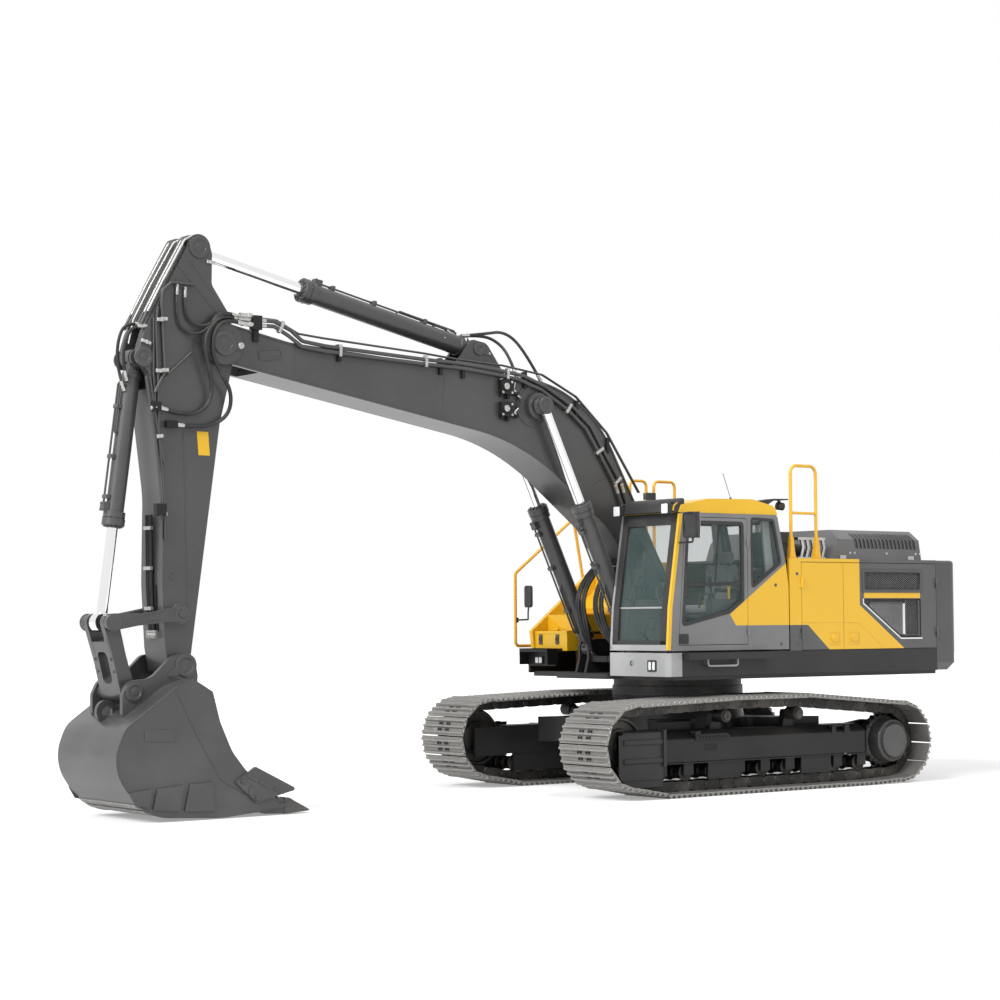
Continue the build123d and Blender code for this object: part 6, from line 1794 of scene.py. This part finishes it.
for side in (-1, 1):
    lengths.append(hose(f"side_hose_{'right' if side < 0 else 'left'}",
        [(1.07, side * 0.288, 3.216), (1.0, side * 0.305, 3.02), (0.82, side * 0.33, 2.78),
        (0.6, side * 0.35, 2.55), (0.463, side * 0.345, 2.28)], 0.019, ("boom", "upper_structure")))
print("all hoses", len(lengths), "metres", round(sum(lengths), 1))

# %% [markdown]
# ## Cylinders
# A hydraulic cylinder is a tube with a screwed head, the gland, through which the chromed rod slides. A ring of
# bolts holds the gland, and oil comes in by a pipe that runs along the barrel. All four cylinders are alike, so
# one table of their ends and sizes drives one loop.

# %% Glands, bolts and pipes
CYLINDERS = (  # barrel, its base, the rod's eye, y, barrel's length and radius, the side its pipes are on
    ("boom_cylinder_left_barrel", (0.99, 1.6), (2.28, 4.305), 0.4, 1.79, 0.095, -1),
    ("boom_cylinder_right_barrel", (0.99, 1.6), (2.28, 4.305), -0.4, 1.79, 0.095, -1),
    ("arm_cylinder_barrel", (2.99, 4.915), (6.53, 5.705), 0.0, 2.25, 0.107, 1),
    ("bucket_cylinder_barrel", (7.15, 4.555), (7.498, 1.931), 0.0, 1.68, 0.09, 1),
)


def ring_spots(centre, axis, radius, count):
    """Centres round a circle across any axis."""
    along = Vector(axis).normalized()
    across = along.orthogonal().normalized()
    return round_spots(Vector(centre), across, along.cross(across), radius, count)


for body, base, eye, y, length, radius, side in CYLINDERS:
    start = Vector((base[0], y, base[1]))
    way = (Vector((eye[0], y, eye[1])) - start).normalized()
    out = Vector((-way.z, 0, way.x)) * side
    second = Vector((0, -1, 0))
    gland = Shape()
    gland.turned(start, way, [
        (length - 0.135, radius + 0.004), (length - 0.13, radius + 0.019), (length - 0.072,
            radius + 0.019), (length - 0.07, radius + 0.012),
        (length - 0.062, radius + 0.012), (length - 0.06, radius + 0.024), (length + 0.004,
            radius + 0.024), (length + 0.01, radius + 0.018),
        (length + 0.01, radius * 0.72), (length + 0.028, radius * 0.7), (length + 0.03, radius * 0.63),
    ], sides=40)
    gland.bolts(ring_spots(start + way * (length + 0.01), way, radius * 0.92, 12), way, 0.022)
    gland.bolts(ring_spots(start + way * (length - 0.06), -way, radius + 0.017, 12), -way, 0.014)
    gland.turned(start, way, [(0.155, radius - 0.002), (0.16, radius + 0.007), (0.2, radius + 0.007),
        (0.205, radius - 0.002)], sides=36)
    foot, head = start + way * 0.24, start + way * (length - 0.17)
    for shift in (-0.022, 0.022):
        line = [foot + out * (radius + 0.005) + second * shift, foot + out * (radius + 0.03) + second
            * shift + way * 0.04, head + out * (radius + 0.03) + second * shift,
            head + out * (radius - 0.002) + second * shift + way * 0.05]
        if shift < 0:
            line = [line[0], line[1], start + way * (length * 0.45) + out * (radius + 0.03) + second * shift,
                    start + way * (length * 0.47) + out * (radius + 0.004) + second * shift]
        gland.tube(line, 0.011, bend=0.02, sides=10)
    for share in (0.3, 0.6, 0.84):
        at = start + way * (length * share) + out * (radius + 0.022)
        u, v, w = way * 0.018, second * 0.045, out * 0.022
        gland.through([[at + s * u + t * v + w * h for s, t in oblong(-1, 1, -1, 1)] for h in (-1.2, 1.0)])
    at = head + out * (radius + 0.012)
    gland.through([[at + s * way * 0.045 + t * second * 0.042 + out * h for s, t in oblong(-1, 1, -1, 1)]
        for h in (-0.02, 0.042)])
    gland.bolts([at + s * way * 0.03 + t * second * 0.028 + out * 0.042 for s in (-1, 1) for t in (-1, 1)],
        out, 0.014)
    gland.done("gland_" + body, body, charcoal)
    eyes = Shape()
    for face in (-1, 1):
        eyes.turned((base[0], y + face * 0.06, base[1]), (0, face, 0),
            [(-0.01, radius * 0.72), (0.007, radius * 0.72), (0.007, radius * 0.5)], sides=32)
    eyes.turned(start + way * 0.06, out, [(radius * 0.4, 0.012), (radius + 0.012, 0.01),
        (radius + 0.014, 0.006)], sides=10)
    eyes.done("eye_" + body, body, bolt_steel)
print("cylinders", len(CYLINDERS))

# %% [markdown]
# ## Bucket
# Dirt wears a bucket from outside in, so plates that can be replaced are welded where it rubs: three on each
# side's lower edge, strips across the heel, cutters at the side lips, and teeth on adapters over the lip. A
# curve of plain arcs, rounded to each corner's own radius, gives the wrapper's outline for the strips.

# %% The wrapper's outline
ARC_STEP = 0.05


def arced(points, radii):
    """A line with true arcs of each corner's radius."""
    line = [Vector(points[0])]
    for k in range(1, len(points) - 1):
        before, corner, after = (Vector(points[j]) for j in (k - 1, k, k + 1))
        back, on = (before - corner).normalized(), (after - corner).normalized()
        half = back.angle(on) / 2
        radius = radii[k - 1]
        if radius == 0:
            line.append(corner)
            continue
        middle = corner + (back + on).normalized() * (radius / math.sin(half))
        start = corner + back * (radius / math.tan(half)) - middle
        stop = corner + on * (radius / math.tan(half)) - middle
        sweep = start.angle_signed(stop)
        count = max(3, int(abs(sweep) * radius / ARC_STEP))
        for j in range(count + 1):
            angle = -sweep * j / count
            line.append(middle + Vector((start.x * math.cos(angle) - start.y * math.sin(angle),
                start.x * math.sin(angle) + start.y * math.cos(angle))))
    return line + [Vector(points[-1])]


WRAPPER = arced([(5.8, 0.075), (6.5, 0.013), (7.365, 0.06), (7.705, 0.56), (7.565, 0.91), (6.99, 1.31),
    (6.805, 1.369)], [1.5, 0.56, 0.43, 0.26, 0.12])
BUCKET_SIDE = 0.625
edges = Shape()
for side in (-1, 1):
    edges.tube([(p.x - 0.0068, side * (BUCKET_SIDE - 0.002), p.y) for p in WRAPPER[:-1]], 0.0065, sides=8)
    edges.tube([(7.019, side * BUCKET_SIDE, 1.289), (6.8, side * BUCKET_SIDE, 0.86),
        (6.515, side * BUCKET_SIDE, 0.382)], 0.005, sides=8)
    edges.tube([(6.515, side * BUCKET_SIDE, 0.382), (6.2, side * BUCKET_SIDE, 0.2)], 0.005, sides=8)
    low, high = sorted((side * (BUCKET_SIDE - 0.001), side * (BUCKET_SIDE + 0.006)))
    edges.plate(softened([(7.352, 0.898), (7.018, 0.886), (7.018, 0.773), (7.352, 0.785)], 0.014), low, high)
edges.done("bucket_edges", "bucket", charcoal)
wear = Shape()
for side in (-1, 1):
    low, high = sorted((side * (BUCKET_SIDE - 0.001), side * (BUCKET_SIDE + 0.02)))
    for corners in ([(7.53, 0.3), (7.273, 0.331), (7.302, 0.15), (7.455, 0.18)],
            [(7.214, 0.328), (6.928, 0.349), (6.977, 0.1), (7.263, 0.125)],
            [(6.858, 0.355), (6.597, 0.369), (6.596, 0.085), (6.918, 0.095)]):
        wear.plate(softened(corners, 0.012), low, high)
    low, high = sorted((side * 0.654, side * 0.662))
    for cx, cz, w, h, lean in ((6.02, 0.315, 0.075, 0.02, 0.45), (6.16, 0.385, 0.075, 0.02, 0.45),
            (6.17, 0.255, 0.04, 0.04, 0.0), (5.86, 0.245, 0.06, 0.016, 0.45)):
        corners = [(cx + a * w * math.cos(lean) - b * h * math.sin(lean),
            cz + a * w * math.sin(lean) + b * h * math.cos(lean)) for a, b in oblong(-1, 1, -1, 1)]
        wear.plate(softened(corners, min(w, h) * 0.8), low, high)
    wear.bolts([(x, side * 0.656, z) for x, z in ((6.28, 0.36), (6.12, 0.185))], (0, side, 0), 0.034)
wear.done("wear_plates", "bucket", charcoal)
heel = Shape()
heel_points = [p for p in WRAPPER if 7.2 < p.x < 7.6 and p.y < 0.42]
for base_point, next_point in (heel_points[1:3], heel_points[3:5]):
    way = (next_point - base_point).normalized()
    outward = Vector((way.y, -way.x))
    for k in range(8):
        y0 = -0.585 + 0.147 * k
        quads = []
        for lift, shrink in ((-0.004, 0.0), (0.01, 0.0), (0.014, 0.006)):
            ring = []
            for s, t in ((0, 0), (1, 0), (1, 1), (0, 1)):
                p = base_point + way * (0.062 * s + (shrink if s == 0 else -shrink)) + outward * lift
                ring.append((p.x, y0 + (0.135 - shrink if t else shrink), p.y))
            quads.append(heel.ring(ring))
        heel.skin(quads)
heel.done("heel_strips", "bucket", shoe_steel, "charcoal_paint")
print("wrapper points", len(WRAPPER))

# %% [markdown]
# ### Teeth
# Each adapter is a fork that sits over the lip and is welded on, and the tooth caps its nose. Both are skins
# through a few rounded sections, wide and tall at the lip and thin at the point.

# %% Adapters and teeth
def wedge(shape, middle, sections):
    """Sections of (x, low, high, half width) from the root to the tip."""
    rings = []
    for x, low, high, half in sections:
        corners = softened(oblong(middle - half, middle + half, low, high),
            min(half, (high - low) / 2) * 0.35, steps=2)
        rings.append(shape.ring([(x, y, z) for y, z in corners]))
    shape.skin(rings)


TOOTH_COUNT, TOOTH_PITCH = 5, 0.275
adapters = Shape()
teeth = Shape()
for k in range(TOOTH_COUNT):
    middle = (k - 2) * TOOTH_PITCH
    wedge(adapters, middle, [(6.27, 0.09, 0.128, 0.022), (6.16, 0.07, 0.165, 0.04),
        (5.98, 0.018, 0.176, 0.054), (5.8, 0.01, 0.168, 0.06), (5.735, 0.014, 0.155, 0.057)])
    wedge(teeth, middle, [(5.765, 0.006, 0.174, 0.066), (5.7, 0.008, 0.165, 0.066),
        (5.64, 0.012, 0.13, 0.058), (5.55, 0.018, 0.082, 0.052), (5.478, 0.024, 0.042, 0.047),
        (5.47, 0.027, 0.036, 0.044)])
    adapters.turned((5.83, middle, 0.165), (0, 0, 1), [(-0.02, 0.024), (0.014, 0.024), (0.02, 0.016)],
        sides=14)
for k in range(TOOTH_COUNT - 1):
    middle = (k - 1.5) * TOOTH_PITCH
    wedge(adapters, middle, [(6.06, 0.06, 0.132, 0.06), (5.8, 0.02, 0.136, 0.062),
        (5.765, 0.026, 0.09, 0.058)])
adapters.done("tooth_adapters", "bucket", charcoal)
teeth.done("bucket_points", "bucket", tooth_steel, replaces=("bucket_teeth",))
print("teeth", TOOTH_COUNT)

# %% [markdown]
# ### Links
# The bucket hangs on the arm by its own pin and is turned through a pair of guide links and one H-shaped link.
# Every pin ends in a boss with a ring, and a bolt and a small keeper plate stop each pin from turning.

# %% Link bosses and caps
def cap(shape, centre, side, radius, proud=0.014):
    """A pin's end: a ring, a groove and a dished middle."""
    shape.turned(centre, (0, side, 0), [(-0.008, radius), (proud * 0.7, radius), (proud, radius - 0.008),
        (proud, radius * 0.66), (proud * 0.5, radius * 0.6), (proud * 0.5, radius * 0.34),
        (proud * 0.8, radius * 0.28), (proud * 0.81, radius * 0.03)], sides=32)


guide_caps = Shape()
link_caps = Shape()
ear_caps = Shape()
for side in (-1, 1):
    for x, z, radius in ((6.745, 2.012, 0.084), (7.498, 1.931, 0.088)):
        cap(guide_caps, (x, side * 0.286, z), side, radius, proud=0.003)
    low, high = sorted((side * 0.284, side * 0.289))
    guide_caps.rim(softened([(6.86, 1.935), (7.385, 1.882), (7.385, 1.978), (6.86, 2.078)], 0.03),
        softened([(6.885, 1.955), (7.365, 1.905), (7.365, 1.958), (6.885, 2.055)], 0.02), low, high)
    guide_caps.plate(softened([(7.02, 1.955), (7.14, 1.945), (7.14, 1.985), (7.02, 2.005)], 0.01), low, high)
    guide_caps.bolt((6.835, side * 0.276, 2.06), (0, side, 0), 0.024)
    guide_caps.bolt((7.43, side * 0.276, 1.99), (0, side, 0), 0.022)
    cap(ear_caps, (6.745, side * 0.345, 1.5), side, 0.118)
    cap(ear_caps, (7.31, side * 0.345, 1.252), side, 0.1)
    low, high = sorted((side * 0.34, side * 0.356))
    ear_caps.plate(softened([(6.72, 1.46), (6.77, 1.54), (6.93, 1.44), (6.95, 1.39), (6.9, 1.38)], 0.02),
        low, high)
    ear_caps.bolt((6.915, side * 0.354, 1.408), (0, side, 0), 0.024)
    ear_caps.tube([(6.6, side * 0.346, 1.26), (7.02, side * 0.346, 1.235), (7.42, side * 0.346, 1.01)],
        0.006, bend=0.2, sides=8)
guide_caps.done("guide_link_caps", "guide_links", charcoal)
ear_caps.done("bucket_ear_caps", "bucket", charcoal)
top = Vector((7.498, 1.931))
foot = Vector((7.31, 1.252))
down = (foot - top).normalized()
front = Vector((-down.y, down.x))
link_span = (foot - top).length
for side in (-1, 1):
    rows = []
    for share, half, reach in ((0.2, 0.03, 0.07), (0.45, 0.024, 0.062), (0.8, 0.026, 0.06)):
        p = top + down * (link_span * share)
        rows.append(link_caps.ring([(p.x + front.x * d, side * (0.168 + w), p.y + front.y * d)
            for w, d in ((-half, reach), (half, reach), (half, reach + 0.01), (-half, reach + 0.01))]))
    link_caps.skin(rows)
    for z_share in (0.5, 0.68):
        p = top + down * (link_span * z_share) + front * 0.072
        link_caps.bolt((p.x, side * 0.168, p.y), (front.x, 0, front.y), 0.02)
link_caps.done("link_pads", "bucket_link", charcoal)
nose = Shape()
for side in (-1, 1):
    low, high = sorted((side * 0.1, side * 0.06))
    nose.plate([(6.944, 2.3), (6.956, 2.3), (6.926, 1.84), (6.914, 1.84)], low, high)
    nose.tube([(6.975, side * 0.05, 3.0), (6.966, side * 0.05, 2.31), (6.935, side * 0.045, 1.83)], 0.014,
        sides=10)
    nose.tube([(6.975, side * 0.018, 3.0), (6.966, side * 0.018, 2.31), (6.935, side * 0.018, 1.83)], 0.011,
        sides=10)
nose.done("arm_nose_pipes", "arm", black)
block = Shape()
block.through([[(x, y, z) for x, z in ((6.905, 1.775), (6.945, 1.772), (6.95, 1.85), (6.91, 1.852))]
    for y in (-0.095, 0.095)])
block.bolts([(6.949, y, z) for y in (-0.075, -0.025, 0.025, 0.075) for z in (1.79, 1.835)], (1, 0, 0), 0.02)
for z in (2.05, 2.45, 2.85):
    block.box((6.955 if z < 2.2 else 6.965, 6.988 if z < 2.2 else 6.998), (-0.072, 0.072), (z, z + 0.035))
block.done("arm_nose_block", "arm", fitting_steel)
print("link caps")

# %% [markdown]
# ### Sleeves
# Every hose above asked for a crimped sleeve at each of its ends. They were gathered by body, so that each body's
# sleeves are one mesh that moves with it.

# %% Sleeves at the hose ends
for body, shape in sleeves.items():
    shape.done("hose_sleeves_" + body, body, fitting_steel)
print("sleeved bodies", len(sleeves))
